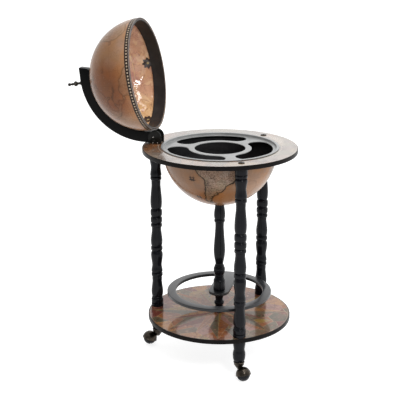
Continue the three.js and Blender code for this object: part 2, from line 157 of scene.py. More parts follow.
def plate(loops, w0, w1, bevel=0.8, steps=3, mat=0):
    """A flat piece with holes and rounded edges, in (u, v, w). loops[0] is the outline, the rest are holes."""
    rings = []
    for k, lp in enumerate(loops):
        p = np.array(lp, float)
        area = 0.5 * np.sum(p[:, 0] * np.roll(p[:, 1], -1) - np.roll(p[:, 0], -1) * p[:, 1])
        if (area > 0) != (k == 0):
            p = p[::-1]
        e = np.roll(p, -1, 0) - p
        e /= np.maximum(np.linalg.norm(e, axis=1, keepdims=True), 1e-9)
        nrm = np.stack([-e[:, 1], e[:, 0]], 1)
        nv = nrm + np.roll(nrm, 1, 0)
        ln = np.linalg.norm(nv, axis=1, keepdims=True)
        nv = nv / np.maximum(ln, 1e-6)
        cosh = np.clip(np.sum(nv * nrm, 1, keepdims=True), 0.5, 1)
        rings.append((p, nv / cosh))
    levels = []
    for i in range(steps + 1):
        a = math.pi / 2 * i / steps
        levels.append((bevel * (1 - math.sin(a)), w0 + bevel * (1 - math.cos(a))))
    for i in range(steps + 1):
        a = math.pi / 2 * i / steps
        levels.append((bevel * (1 - math.cos(a)), w1 - bevel * (1 - math.sin(a))))
    verts, faces, n0 = [], [], 0
    caps = {0: [], len(levels) - 1: []}
    for p, nv in rings:
        n = len(p)
        starts = []
        for li, (o, w) in enumerate(levels):
            q = p + nv * o
            verts.append(np.column_stack([q, np.full(n, w)]))
            starts.append(n0)
            if li in caps:
                caps[li].append((n0, q))
            n0 += n
        for a, b in zip(starts[:-1], starts[1:]):
            for t in range(n):
                u = (t + 1) % n
                faces.append((a + t, a + u, b + u, b + t))
    for li, parts in caps.items():
        flat = [i for s, q in parts for i in range(s, s + len(q))]
        tris = tessellate_polygon([[Vector((x, y, 0)) for x, y in q] for s, q in parts])
        for tri in tris:
            f = tuple(flat[i] for i in tri)
            faces.append(f)
    return np.vstack(verts), faces, [mat] * len(faces)


def to_x(part, x0=0.0):
    """(u, v, w) to (x, y, z) with w along X."""
    v, f, m = part
    return np.stack([v[:, 2] + x0, v[:, 0], v[:, 1]], 1), f, m


def moved(part, shift=(0, 0, 0), turn=0.0):
    v, f, m = part
    return rot_z(v, turn) + np.array(shift, float), f, m


def lean(part, deg):
    """Leans a piece made along +Z towards +Y."""
    v, f, m = part
    c, s = math.cos(rad(deg)), math.sin(rad(deg))
    return np.stack([v[:, 0], v[:, 1] * c + v[:, 2] * s, -v[:, 1] * s + v[:, 2] * c], 1), f, m


def along(part, turn, centre):
    """A piece turned about Z is laid along X, turned about Z by turn and moved to centre."""
    v, f, m = part
    w = np.stack([v[:, 2], v[:, 1], -v[:, 0]], 1)
    return rot_z(w, turn) + np.array(centre, float), f, m


def circle(r, n, cx=0.0, cy=0.0):
    a = np.arange(n) * 2 * math.pi / n
    return np.stack([cx + r * np.cos(a), cy + r * np.sin(a)], 1)


def arc(cx, cy, r, a0, a1, n):
    a = np.radians(np.linspace(a0, a1, n + 1))
    return [(cx + r * math.cos(t), cy + r * math.sin(t)) for t in a]


def build(name, parts, place, body, materials, replaces=(), sharp=32, extra=None):
    """One mesh object from parts of (vertices in mm, faces, material of each face)."""
    V, F, M, n0 = [], [], [], 0
    for v, f, m in parts:
        V.append(np.asarray(v, float))
        F.extend([tuple(i + n0 for i in t) for t in f])
        M.extend(m)
        n0 += len(v)
    q = np.vstack(V)
    w = place(q) / 1000.0 + np.array([0.0, OY, 0.0])
    me = bpy.data.meshes.new(name)
    me.from_pydata(w.tolist(), [], F)
    me.update()
    at = me.attributes.new("q", "FLOAT_VECTOR", "POINT")
    at.data.foreach_set("vector", (q / 1000.0).astype(np.float32).ravel())
    if extra is not None:
        at = me.attributes.new("sd", "FLOAT", "POINT")
        at.data.foreach_set("value", extra(q).astype(np.float32))
    me.polygons.foreach_set("material_index", np.array(M, np.int32))
    bm = bmesh.new()
    bm.from_mesh(me)
    bmesh.ops.recalc_face_normals(bm, faces=bm.faces)
    bm.to_mesh(me)
    bm.free()
    me.polygons.foreach_set("use_smooth", np.ones(len(me.polygons), bool))
    me.set_sharp_from_angle(angle=rad(sharp))
    for mt in (materials if isinstance(materials, (list, tuple)) else [materials]):
        me.materials.append(mt)
    ob = bpy.data.objects.new(name, me)
    bpy.context.scene.collection.objects.link(ob)
    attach(ob, body)
    if replaces:
        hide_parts(*replaces)
    return ob


# ---------------------------------------------------------------- node helpers
class Mat:
    def __init__(self, name, **shader):
        self.mat = bpy.data.materials.new(name)
        self.mat.use_nodes = True
        self.t = self.mat.node_tree
        self.t.nodes.clear()
        self.out = self.t.nodes.new("ShaderNodeOutputMaterial")
        self.bsdf = self.t.nodes.new("ShaderNodeBsdfPrincipled")
        self.t.links.new(self.bsdf.outputs[0], self.out.inputs[0])
        for k, v in shader.items():
            self.bsdf.inputs[k.replace("_", " ")].default_value = v

    def put(self, sock, v):
        if isinstance(v, bpy.types.NodeSocket):
            self.t.links.new(v, sock)
        elif isinstance(v, (tuple, list)):
            v = tuple(v)
            n = len(sock.default_value)
            sock.default_value = v + (1.0,) * (n - len(v)) if len(v) < n else v[:n]
        else:
            sock.default_value = v

    def node(self, kind, ins=None, **props):
        n = self.t.nodes.new(kind)
        for k, v in props.items():
            setattr(n, k, v)
        for k, v in (ins or {}).items():
            self.put(n.inputs[k], v)
        return n

    def m(self, op, a, b=None, c=None, clamp=False):
        n = self.t.nodes.new("ShaderNodeMath")
        n.operation = op
        n.use_clamp = clamp
        for i, v in enumerate((a, b, c)):
            if v is not None:
                self.put(n.inputs[i], v)
        return n.outputs[0]

    def v(self, op, a, b=None, scale=None):
        n = self.t.nodes.new("ShaderNodeVectorMath")
        n.operation = op
        self.put(n.inputs[0], a)
        if b is not None:
            self.put(n.inputs[1], b)
        if scale is not None:
            self.put(n.inputs["Scale"], scale)
        return n.outputs["Value"] if op in ("LENGTH", "DOT_PRODUCT", "DISTANCE") else n.outputs[0]

    def mix(self, f, a, b, mode="MIX"):
        n = self.t.nodes.new("ShaderNodeMix")
        n.data_type = "RGBA"
        n.blend_type = mode
        self.put(n.inputs[0], f)
        self.put(n.inputs[6], a)
        self.put(n.inputs[7], b)
        return n.outputs[2]

    def step(self, x, lo, hi, a=0.0, b=1.0):
        n = self.t.nodes.new("ShaderNodeMapRange")
        n.interpolation_type = "SMOOTHSTEP"
        for i, v in enumerate((x, lo, hi, a, b)):
            self.put(n.inputs[i], v)
        return n.outputs[0]

    def noise(self, vec, scale, detail=4.0, rough=0.55, dist=0.0, color=False):
        n = self.t.nodes.new("ShaderNodeTexNoise")
        self.put(n.inputs["Vector"], vec)
        n.inputs["Scale"].default_value = scale
        n.inputs["Detail"].default_value = detail
        n.inputs["Roughness"].default_value = rough
        n.inputs["Distortion"].default_value = dist
        return n.outputs["Color" if color else "Fac"]

    def white(self, w):
        n = self.t.nodes.new("ShaderNodeTexWhiteNoise")
        n.noise_dimensions = "1D"
        self.put(n.inputs["W"], w)
        return n.outputs["Value"]

    def voronoi(self, vec, scale, feature="F1", out="Color", randomness=1.0):
        n = self.t.nodes.new("ShaderNodeTexVoronoi")
        n.feature = feature
        self.put(n.inputs["Vector"], vec)
        n.inputs["Scale"].default_value = scale
        n.inputs["Randomness"].default_value = randomness
        return n.outputs[out]

    def ramp(self, fac, stops, mode="LINEAR"):
        n = self.t.nodes.new("ShaderNodeValToRGB")
        n.color_ramp.interpolation = mode
        e = n.color_ramp.elements
        while len(e) < len(stops):
            e.new(0.5)
        for i, (p, c) in enumerate(stops):
            e[i].position = p
            e[i].color = (*c, 1.0)
        self.put(n.inputs[0], fac)
        return n.outputs[0]

    def attr(self, name, out="Vector"):
        n = self.t.nodes.new("ShaderNodeAttribute")
        n.attribute_name = name
        return n.outputs[out]

    def obj(self):
        return self.t.nodes.new("ShaderNodeTexCoord").outputs["Object"]

    def sep(self, v):
        n = self.t.nodes.new("ShaderNodeSeparateXYZ")
        self.put(n.inputs[0], v)
        return n.outputs[0], n.outputs[1], n.outputs[2]

    def comb(self, x, y, z):
        n = self.t.nodes.new("ShaderNodeCombineXYZ")
        for i, v in enumerate((x, y, z)):
            self.put(n.inputs[i], v)
        return n.outputs[0]

    def bump(self, height, strength, distance):
        n = self.t.nodes.new("ShaderNodeBump")
        n.inputs["Strength"].default_value = strength
        n.inputs["Distance"].default_value = distance
        self.put(n.inputs["Height"], height)
        self.t.links.new(n.outputs[0], self.bsdf.inputs["Normal"])
        return n

    def color(self, c):
        self.put(self.bsdf.inputs["Base Color"], c)

    def rough(self, r):
        self.put(self.bsdf.inputs["Roughness"], r)

    def line(self, x, half, soft):
        """1 within half of zero."""
        return self.step(self.m("ABSOLUTE", x), half - soft, half + soft, 1.0, 0.0)

    def mul(self, *a):
        r = a[0]
        for b in a[1:]:
            r = self.m("MULTIPLY", r, b)
        return r


# ---------------------------------------------------------------- the coast, in degrees of longitude and latitude
LANDS = [
    # South America and the land at its tip
    [(-77.5, 8.5), (-75.5, 10.7), (-74.2, 11.3), (-71.6, 12.4), (-70, 12.2), (-68, 10.6), (-64, 10.1), (-62, 10.7), (-60, 8.4), (-57, 6), (-54, 5.8), (-51.5, 4.2), (-50, 1.5), (-50.2, -0.5), (-48, -1), (-44.3, -2.6), (-41.5, -2.9), (-38.5, -3.8), (-35.3, -5.3), (-34.8, -8), (-37, -11), (-38.9, -13.5), (-39, -17.5), (-40.9, -21.9), (-43.2, -23), (-46, -23.9), (-48.5, -26), (-48.8, -28.5), (-51.2, -31.5), (-53.5, -34), (-56, -34.9), (-58.4, -34.2), (-57.2, -36), (-57.6, -38.1), (-62, -39), (-62.3, -40.9), (-65, -41), (-63.8, -42.5), (-65.4, -44.5), (-67.5, -46.3), (-65.9, -47.8), (-68.9, -50.3), (-68.4, -52.4), (-70.8, -52.8), (-71.3, -53.9), (-74.6, -52.6), (-75.6, -48.5), (-74.2, -45), (-73, -41.6), (-73.6, -37.3), (-71.6, -33), (-71.3, -29.5), (-70.5, -25), (-70.2, -19), (-72, -17.2), (-76.2, -13.9), (-77.3, -11.8), (-79.5, -7.5), (-81.2, -5.8), (-80.3, -3.4), (-79.9, -2.3), (-81, -1), (-80, 0.8), (-78.8, 1.6), (-77.3, 3.9), (-77.6, 7), (-78.2, 8)],
    [(-68.2, -52.8), (-66.5, -54.2), (-65.2, -54.7), (-68.5, -55.5), (-71.5, -54.4)],
    # North America
    [(-80.3, 7.4), (-83, 8.4), (-85.7, 10), (-87.6, 13), (-91.5, 14), (-94.5, 16.2), (-97.5, 15.9), (-101.8, 17.8), (-105.5, 20.3), (-105.5, 22.5), (-109.4, 25.7), (-112.2, 29), (-113.1, 31.2), (-114.7, 31.7), (-112.7, 28.2), (-110.3, 24.3), (-109.6, 23), (-112.2, 25), (-114.5, 28), (-116, 30.3), (-117.2, 32.6), (-120.6, 34.6), (-122.4, 37.3), (-124.2, 40.3), (-124, 44.5), (-124.6, 48.2), (-123, 49), (-127.5, 51), (-130.5, 54.8), (-134, 58), (-139.5, 59.7), (-146, 61), (-151.5, 59.5), (-154, 57.5), (-160, 55.3), (-164.5, 54.6), (-160, 56.5), (-157.5, 58.7), (-162, 59.2), (-165.3, 61.3), (-161, 64.2), (-166.5, 64.6), (-163, 66.6), (-166.3, 68.4), (-156.6, 71.3), (-146, 70.2), (-136, 69), (-128, 70.3), (-124, 69.4), (-115, 68), (-108, 68), (-101, 68), (-95.5, 68), (-94, 71.5), (-90, 69), (-87, 68), (-81.5, 69.5), (-82, 66.8), (-87, 64.5), (-93, 61.8), (-94.5, 58.8), (-92.5, 57), (-85, 55.3), (-82.3, 53), (-80, 51.3), (-79, 54.5), (-77, 57), (-78, 60), (-77.5, 62.4), (-73.5, 62.2), (-69.5, 61), (-69.5, 58.8), (-65.5, 59.5), (-61.5, 56.5), (-57.5, 54.2), (-56, 52), (-60, 50.2), (-66.5, 50.1), (-70, 47.2), (-64.5, 46.2), (-66, 43.7), (-66.8, 44.7), (-70.3, 43.4), (-70.6, 41.8), (-74, 40.6), (-75.5, 38), (-76, 36.5), (-78.5, 33.8), (-81.2, 31.5), (-80.2, 27), (-80.6, 25.2), (-82.6, 27.8), (-84, 30), (-89, 30.3), (-90, 29.2), (-94, 29.6), (-97.2, 27.7), (-97.6, 22.5), (-95.8, 18.8), (-92, 18.6), (-90.4, 20.9), (-87, 21.4), (-88, 18), (-88.8, 15.9), (-84, 15.7), (-83.5, 12.5), (-83.6, 10.8), (-81.5, 9), (-79.5, 9.5), (-77.5, 8.6), (-78.2, 8)],
    # Greenland and the northern and Caribbean islands
    [(-73, 78.2), (-66, 76), (-58, 75.3), (-54.5, 71), (-53.5, 67), (-51, 63), (-48, 61), (-43.5, 60), (-41, 63.5), (-36, 66), (-30, 68.2), (-23, 70.3), (-20, 74), (-18.5, 77.5), (-20, 80.3), (-30, 83), (-45, 82.5), (-60, 82), (-66, 80.5)],
    [(-80, 73.5), (-73, 71.5), (-66, 68), (-62, 66), (-65, 63), (-71, 63), (-73, 65), (-78, 65), (-74, 68), (-84, 70), (-88, 73)],
    [(-118, 71.5), (-110, 73), (-103, 70), (-108, 69), (-116, 69.5)],
    [(-90, 77), (-80, 76.5), (-65, 81.5), (-75, 83), (-90, 81.5)],
    [(-59, 48), (-55.5, 51.5), (-53, 47.5), (-56, 47)],
    [(-85, 22), (-80, 23.1), (-74.5, 20.2), (-78, 20.5), (-82.5, 22.3)],
    [(-74.4, 18.5), (-72, 19.9), (-68.5, 18.6), (-71, 17.9)],
    # Africa and Madagascar
    [(-5.9, 35.8), (-2, 35.2), (3, 36.9), (10, 37.3), (11, 34), (15.3, 32.3), (19.5, 30.3), (20.5, 32.7), (25, 31.7), (30.5, 31.4), (32.5, 31.2), (32.6, 29.8), (34.5, 26.5), (37, 21), (38.5, 18), (43.2, 12), (44, 10.6), (51.2, 11.9), (48, 4.5), (43.5, 0.5), (40.2, -2.8), (39, -7), (40.6, -14), (36.5, -18.5), (35, -22), (35.5, -24), (32.8, -26), (32.5, -28.6), (28, -33), (22, -34.2), (18.4, -34), (17, -29.5), (14.5, -22.7), (11.8, -17.5), (13.7, -11), (12.3, -6), (9, -1), (9.7, 3.5), (7, 4.4), (4, 6.4), (-2, 4.8), (-7.7, 4.4), (-12.5, 7.5), (-16.7, 12.5), (-17.4, 14.7), (-16.3, 19), (-17, 21), (-13, 27.7), (-9.7, 30), (-9.7, 32), (-6.5, 34.5)],
    [(49.3, -12), (50.4, -15.8), (47.2, -24.8), (44, -25), (43.5, -21.5), (44.3, -16.5), (47.5, -14.5)],
    # Europe and Asia
    [(-9.4, 38.7), (-8.9, 43.2), (-1.8, 43.4), (-1.2, 46), (-4.6, 48.4), (-1.6, 49.7), (1.6, 50.9), (4.5, 52.3), (8.5, 53.8), (8.2, 57), (10.6, 57.6), (10.9, 54.3), (14.2, 54), (19, 54.4), (21, 56), (24, 57.2), (23.7, 59), (30, 59.9), (25, 60.2), (22, 60.5), (21.3, 62.8), (25, 65.2), (22, 65.7), (17.5, 62), (18.8, 60), (16.5, 57), (14.3, 55.4), (11.3, 58.5), (8, 58.1), (5.2, 60.5), (5.5, 62), (12, 66), (17, 69), (25.7, 71), (31, 70), (41, 67), (40, 66), (33, 66.5), (37, 64), (40.5, 64.6), (44, 66.2), (44, 68.4), (54, 68.3), (60, 69), (68, 68.5), (67, 71), (73, 72.5), (78, 72.3), (87, 74), (100, 76), (104.5, 77.6), (113, 74), (129, 71), (140, 72.5), (152, 71), (161, 69.5), (170, 69.8), (180, 68.8), (190, 66.2), (184, 64.8), (179, 62.5), (170, 60), (163, 56), (156.8, 51.2), (156, 57), (163.5, 61.7), (155, 59.4), (143, 59.3), (135.5, 54.7), (141, 52.5), (140.5, 48), (135.5, 44), (131, 42.6), (127.6, 39.8), (129.3, 36), (126.5, 34.5), (126, 37.5), (124.5, 40), (121.5, 39), (118, 39), (119, 37.3), (122.4, 37), (119.3, 35), (121.8, 31.5), (121.5, 28.5), (118, 24.5), (113.8, 22.3), (109.8, 20.5), (108.2, 21.6), (105.8, 19), (108.8, 15.5), (109, 11.8), (105, 8.7), (104.5, 10.5), (100.6, 13.4), (99.3, 10), (101, 6.7), (103.4, 4), (104, 1.4), (101.3, 2.8), (100.3, 6), (98.3, 8.5), (98.5, 13), (97.5, 16.8), (94.3, 16), (94, 19), (91, 22.6), (87, 21.5), (82.3, 16.7), (80.2, 15), (79.9, 10.3), (77.5, 8.1), (76, 11), (73, 17), (72.7, 21), (70, 21), (69, 22.3), (67, 24.7), (61.5, 25.1), (57, 26.9), (53, 26.8), (49.5, 30), (48, 29.8), (50.2, 26.5), (51.3, 24.5), (54.3, 24.2), (56.3, 26.2), (59.8, 22.5), (55.3, 17.7), (52, 15.6), (45, 12.8), (43.3, 13.2), (42.6, 16.8), (39, 21.3), (35, 28), (34.9, 29.5), (34.3, 31.3), (35.9, 34.5), (36, 36.7), (30.6, 36.7), (27.3, 36.8), (26.2, 39.5), (29, 41.1), (35, 42), (41.5, 41.5), (37, 45.2), (39, 47.2), (33.5, 44.5), (30.8, 46.5), (28, 43.5), (28, 41.8), (26, 40.8), (23.7, 40.4), (23, 36.5), (21.1, 38), (19.4, 41.3), (15, 44.5), (13.6, 45.6), (12.3, 45), (13.6, 43.6), (18.4, 40.2), (17, 39), (15.8, 38), (15, 40), (12.2, 41.7), (10.2, 43.9), (6.5, 43.1), (3.2, 43.2), (3.2, 41.8), (-0.3, 39.5), (-0.7, 37.7), (-2.2, 36.7), (-5.5, 36.1), (-9, 37)],
    # islands
    [(-5.5, 50.1), (1.3, 51.3), (0.3, 53), (-1.8, 55.6), (-2, 57.6), (-5, 58.6), (-5.6, 56), (-3.2, 54.5), (-4.6, 53.2), (-5, 51.7)],
    [(-10, 51.7), (-6.3, 52.2), (-6, 54.6), (-8.3, 55.2), (-10, 53.8)],
    [(-22.5, 63.9), (-18.5, 63.4), (-14, 64.8), (-15.5, 66.3), (-22, 66.3), (-24, 65)],
    [(130.2, 31.3), (133.5, 33.5), (135.8, 33.6), (140.5, 35.6), (141.9, 39.5), (145.2, 43.2), (141.8, 45.3), (140, 41.5), (139.5, 38), (136.5, 36.8), (132, 34.9), (129.8, 33)],
    [(142, 46), (143.5, 49), (142.8, 54), (141.9, 50)],
    [(120.4, 16), (121.8, 18.4), (123.8, 13), (120.8, 13.8)],
    [(122, 7), (125.5, 9.7), (126.4, 7), (124, 6)],
    [(109, 1.5), (113, 3.5), (117, 7), (119, 5), (117.5, 1), (116.3, -3.8), (111.7, -3.4), (109.5, -0.5)],
    [(95.3, 5.6), (98.7, 3.7), (103.8, -1), (106, -3), (105.7, -5.9), (102, -3.8), (98.5, 0.5)],
    [(105.3, -6.8), (108.5, -6.7), (112.7, -6.9), (114.4, -8.3), (110, -8.1), (106.5, -7.4)],
    [(119.5, 0), (121, 1.2), (125, 1.5), (120.8, 0.5), (121.5, -1), (123.3, -1), (121.5, -2.5), (122.5, -5), (120.4, -5.5), (119.5, -3.5)],
    [(131, -0.8), (134, -0.8), (135, -3.3), (138, -1.7), (141, -2.6), (145.8, -5), (147.8, -6.8), (150.8, -10.4), (147, -9.5), (144, -7.7), (141, -9), (138, -8.2), (138, -5.5), (133, -4), (132, -2.8)],
    [(114, -22), (113.5, -26), (115.8, -32), (115, -34.3), (118, -35), (123.5, -34), (129, -31.7), (134, -32.8), (138.6, -35.5), (140.5, -38), (144.5, -38.3), (147, -39), (150, -37.5), (151.3, -33.8), (153.3, -28.5), (153, -25), (149.5, -21.8), (146, -18.7), (145.3, -15), (142.6, -10.8), (141.5, -14), (140.8, -17.5), (137, -16), (136, -12.2), (132.5, -11.5), (129.5, -14.8), (126, -14), (122.3, -17.5), (119, -20)],
    [(144.8, -40.8), (148.2, -40.9), (147, -43.6), (145.6, -42.8)],
    [(172.8, -34.5), (175.5, -36.8), (178.4, -37.7), (176.8, -39.8), (175, -41.4), (174, -39.2)],
    [(172.7, -40.6), (174.2, -41.7), (171, -44.4), (170.5, -46), (167, -46.2), (168.5, -44)],
]
SOUTH_LAND = [(-180, -78), (-160, -78), (-150, -77), (-130, -74), (-110, -74.5), (-90, -73), (-75, -72), (-68, -68), (-60, -63.5), (-62, -68), (-60, -74), (-40, -78), (-25, -75), (-10, -71), (10, -70), (30, -69.5), (50, -66.5), (70, -69), (80, -67), (100, -66), (120, -66.5), (140, -66.8), (155, -69), (170, -72), (180, -78)]
LON_TURN = 247.5   # the azimuth of longitude 0 on the globe


def coast_distance(unit):
    """Signed distance to the coast in degrees, positive on land, for unit vectors in the globe's frame."""
    u = np.asarray(unit, float)
    lat = np.degrees(np.arcsin(np.clip(u[:, 2], -1, 1)))
    lon = (np.degrees(np.arctan2(u[:, 1], u[:, 0])) - LON_TURN + 180) % 360 - 180
    A, B = [], []
    for poly in LANDS:
        p = np.array(poly, float)
        A.append(p)
        B.append(np.roll(p, -1, 0))
    A, B = np.vstack(A), np.vstack(B)
    best = np.full(len(u), 1e9)
    inside = np.zeros(len(u), bool)
    for shift in (0.0, 360.0):
        for s in range(0, len(u), 3000):
            la, lo = lat[s:s + 3000, None], lon[s:s + 3000, None] + shift
            k = np.cos(np.radians(np.clip(la, -88, 88)))
            ax, ay = (A[None, :, 0] - lo) * k, A[None, :, 1] - la
            bx, by = (B[None, :, 0] - lo) * k, B[None, :, 1] - la
            dx, dy = bx - ax, by - ay
            t = np.clip(-(ax * dx + ay * dy) / np.maximum(dx * dx + dy * dy, 1e-9), 0, 1)
            best[s:s + 3000] = np.minimum(best[s:s + 3000], np.sqrt((ax + t * dx) ** 2 + (ay + t * dy) ** 2).min(1))
            cross = (ay > 0) != (by > 0)
            xi = ax + (0 - ay) / np.where(np.abs(dy) < 1e-9, 1e-9, dy) * dx
            inside[s:s + 3000] |= (np.sum(cross & (xi > 0), 1) % 2) == 1
    sd = np.where(inside, best, -best)
    sl = np.array(SOUTH_LAND, float)
    order = np.argsort(sl[:, 0], kind="stable")
    south = (np.interp(lon, sl[order, 0], sl[order, 1]) - lat) * 0.8
    return np.maximum(sd, south)


# ---------------------------------------------------------------- materials
def wood_black(name, axis, base=(0.0036, 0.0039, 0.0054), rough=0.12, level=0.12):
    """Satin black lacquer over turned or cut wood: faint grain along the axis, fine orange peel and rubbed spots."""
    g = Mat(name, Specular_IOR_Level=level)
    q = g.attr("q")
    stretch = [1.0, 1.0, 1.0]
    stretch[axis] = 0.08
    gq = g.v("MULTIPLY", q, tuple(stretch))
    grain = g.noise(gq, 260.0, 5.0, 0.6)
    pores = g.noise(gq, 900.0, 3.0, 0.6)
    cloud = g.noise(q, 22.0, 3.0, 0.5)
    peel = g.noise(q, 700.0, 2.0, 0.5)
    c = g.mix(g.step(grain, 0.35, 0.7), base, tuple(x * 1.5 for x in base))
    c = g.mix(g.mul(g.step(cloud, 0.5, 0.75), 0.35), c, tuple(x * 2.0 for x in base))
    g.color(c)
    g.rough(g.m("ADD", g.m("MULTIPLY_ADD", cloud, 0.12, rough - 0.06), g.m("MULTIPLY", grain, 0.05)))
    g.bump(g.m("ADD", g.m("ADD", g.m("MULTIPLY", grain, 0.6), g.m("MULTIPLY", pores, 0.5)), g.m("MULTIPLY", peel, 0.35)), 0.12, 0.0005)
    return g.mat


def edge_lacquer():
    """Dark brown edge of the boards, with faint lighter streaks."""
    g = Mat("edge_lacquer", Specular_IOR_Level=0.06)
    q = g.attr("q")
    n1 = g.noise(q, 45.0, 4.0, 0.6)
    n2 = g.noise(g.v("MULTIPLY", q, (1.0, 1.0, 9.0)), 160.0, 4.0, 0.6)
    c = g.mix(g.step(n1, 0.3, 0.7), (0.0032, 0.0028, 0.0028), (0.0062, 0.0048, 0.0044))
    c = g.mix(g.mul(g.step(n2, 0.62, 0.78), 0.3), c, (0.015, 0.011, 0.009))
    g.color(c)
    g.rough(g.m("MULTIPLY_ADD", n1, 0.16, 0.28))
    g.bump(g.m("ADD", n2, g.m("MULTIPLY", n1, 0.5)), 0.2, 0.0005)
    return g.mat


OCEAN_A, OCEAN_B, OCEAN_C = (0.205, 0.125, 0.083), (0.205, 0.105, 0.052), (0.170, 0.105, 0.074)
LAND_A, LAND_B = (0.230, 0.169, 0.139), (0.186, 0.138, 0.113)
INK, INK_RED = (0.022, 0.014, 0.011), (0.075, 0.022, 0.016)


def globe_map(lid_side):
    """Varnished antique world map: ocean, land, coast with hatching, rivers, hills, and a faint grid, with painted
    light and painted shade on parts of the bowl and lid.
    """
    g = Mat("globe_map_lid" if lid_side else "globe_map_bowl", Specular_IOR_Level=0.10)
    g.bsdf.inputs["Coat Weight"].default_value = 0.07
    g.bsdf.inputs["Coat Roughness"].default_value = 0.08
    k = 0.42 if lid_side else 1.0      # the upper half's drawing is paler and more worn
    q = g.attr("q")
    u = g.v("NORMALIZE", q if lid_side else g.v("SUBTRACT", q, (0.0, 0.0, BOWL_Z / 1000.0)))
    x, y, z = g.sep(u)
    lat = g.m("MULTIPLY", g.m("ARCSINE", z), 57.29578)
    lon = g.m("MULTIPLY", g.m("ARCTAN2", y, x), 57.29578)
    wob = g.noise(u, 14.0, 6.0, 0.62)
    fine = g.noise(u, 55.0, 4.0, 0.6)
    sd = g.m("ADD", g.attr("sd", "Fac"), g.m("MULTIPLY", g.m("SUBTRACT", wob, 0.5), 2.6))
    sd = g.m("ADD", sd, g.m("MULTIPLY", g.m("SUBTRACT", fine, 0.5), 0.9))
    land = g.step(sd, -0.1, 0.1)
    sea = g.m("SUBTRACT", 1.0, land)
    big = g.noise(u, 2.3, 3.0, 0.5)
    big2 = g.noise(g.v("ADD", u, (3.1, 1.7, 0.4)), 3.4, 4.0, 0.55)
    mott = g.noise(u, 18.0, 5.0, 0.6)
    ocean = g.mix(g.step(big, 0.38, 0.62), OCEAN_A, OCEAN_B)
    ocean = g.mix(g.step(big2, 0.5, 0.72), ocean, OCEAN_C)
    ocean = g.mix(g.mul(g.step(mott, 0.45, 0.75), 0.35), ocean, (0.155, 0.085, 0.05))
    ground = g.mix(g.step(big2, 0.35, 0.65), LAND_A, LAND_B)
    ground = g.mix(g.mul(g.step(mott, 0.42, 0.68), 0.5), ground, (0.185, 0.125, 0.09))
    # tinted regions of the old map
    cells = g.voronoi(g.v("ADD", u, g.v("SCALE", g.noise(u, 9.0, 3.0, 0.5, color=True), scale=0.12)), 6.5)
    cx, cy, cz = g.sep(cells)
    ground = g.mix(g.mul(g.step(cx, 0.55, 0.6), 0.32), ground, (0.20, 0.11, 0.065))
    ground = g.mix(g.mul(g.step(cy, 0.68, 0.72), 0.34), ground, (0.14, 0.12, 0.078))
    border = g.voronoi(g.v("ADD", u, g.v("SCALE", g.noise(u, 9.0, 3.0, 0.5, color=True), scale=0.12)), 6.5, "DISTANCE_TO_EDGE", "Distance")
    ground = g.mix(g.mul(g.step(border, 0.008, 0.022, 1.0, 0.0), 0.45), ground, INK_RED)
    # hills: short strokes in patches
    hill = g.voronoi(u, 46.0, "F1", "Distance")
    patch = g.step(g.noise(g.v("ADD", u, (0.7, 2.2, 5.0)), 5.0, 3.0, 0.5), 0.42, 0.5)
    ground = g.mix(g.mul(g.step(hill, 0.20, 0.28, 1.0, 0.0), patch, 0.85), ground, INK)
    # rows of short strokes inland
    tick = g.mul(g.step(g.m("SINE", g.m("MULTIPLY", lat, 2.9)), 0.35, 0.7), g.step(g.noise(g.v("MULTIPLY", u, (1.0, 1.0, 0.15)), 62.0, 3.0, 0.65), 0.52, 0.6))
    ground = g.mix(g.mul(tick, 0.75), ground, INK)
    # rivers
    rv = g.m("SUBTRACT", g.noise(g.v("ADD", u, (9.0, 4.0, 1.0)), 6.0, 5.0, 0.55), 0.5)
    ground = g.mix(g.mul(g.line(rv, 0.008, 0.004), 0.8), ground, INK)
    rv2 = g.m("SUBTRACT", g.noise(g.v("ADD", u, (2.0, 8.0, 6.0)), 13.0, 4.0, 0.5), 0.5)
    ground = g.mix(g.mul(g.line(rv2, 0.010, 0.005), 0.55), ground, INK)
    ground = g.mix(g.mul(g.step(fine, 0.6, 0.7), 0.35), ground, INK)
    col = g.mix(g.mul(land, 0.5 if lid_side else 1.0), ocean, ground)
    # faint rhumb rings on the ocean
    for (lo0, la0, w) in ((-120.0, -18.0, 0.5), (-20.0, -30.0, 0.5), (75.0, -20.0, 0.5), (-150.0, 30.0, 0.5), (-38.0, 34.0, 0.5), (165.0, 22.0, 0.5)):
        az = rad(lo0 + LON_TURN)
        d = g.m("MULTIPLY", g.m("ARCCOSINE", g.v("DOT_PRODUCT", u, (math.cos(rad(la0)) * math.cos(az), math.cos(rad(la0)) * math.sin(az), math.sin(rad(la0))))), 57.29578)
        ring = g.m("MAXIMUM", g.line(g.m("SUBTRACT", d, 7.5), 0.16, 0.1), g.line(g.m("SUBTRACT", d, 8.6), 0.3, 0.1))
        col = g.mix(g.mul(ring, sea, 0.30 * k), col, INK)
    # grid
    gl = g.line(g.m("SUBTRACT", g.m("FRACT", g.m("MULTIPLY_ADD", lat, 0.1, 10.5)), 0.5), 0.014, 0.01)
    cl = g.m("MULTIPLY", g.line(g.m("SUBTRACT", g.m("FRACT", g.m("MULTIPLY_ADD", lon, 1 / 15.0, 24.5)), 0.5), 0.011, 0.008), g.step(g.m("ABSOLUTE", lat), 78.0, 80.0, 1.0, 0.0))
    col = g.mix(g.mul(g.m("MAXIMUM", gl, cl), 0.22), col, INK)
    # coast: a greenish tint inshore, the dark line, then hatching out to sea
    col = g.mix(g.mul(g.step(sd, 1.6, 0.2), land, 0.35 * k), col, (0.13, 0.125, 0.055))
    col = g.mix(g.mul(g.line(g.m("ADD", sd, 0.1), 0.62, 0.14), 0.95 * k), col, INK)
    hatch = g.step(g.m("SINE", g.m("MULTIPLY", lat, 7.2)), 0.0, 0.5)
    near = g.mul(g.step(sd, -2.9, -0.6), sea)
    col = g.mix(g.mul(near, hatch, 0.5 * k), col, INK)
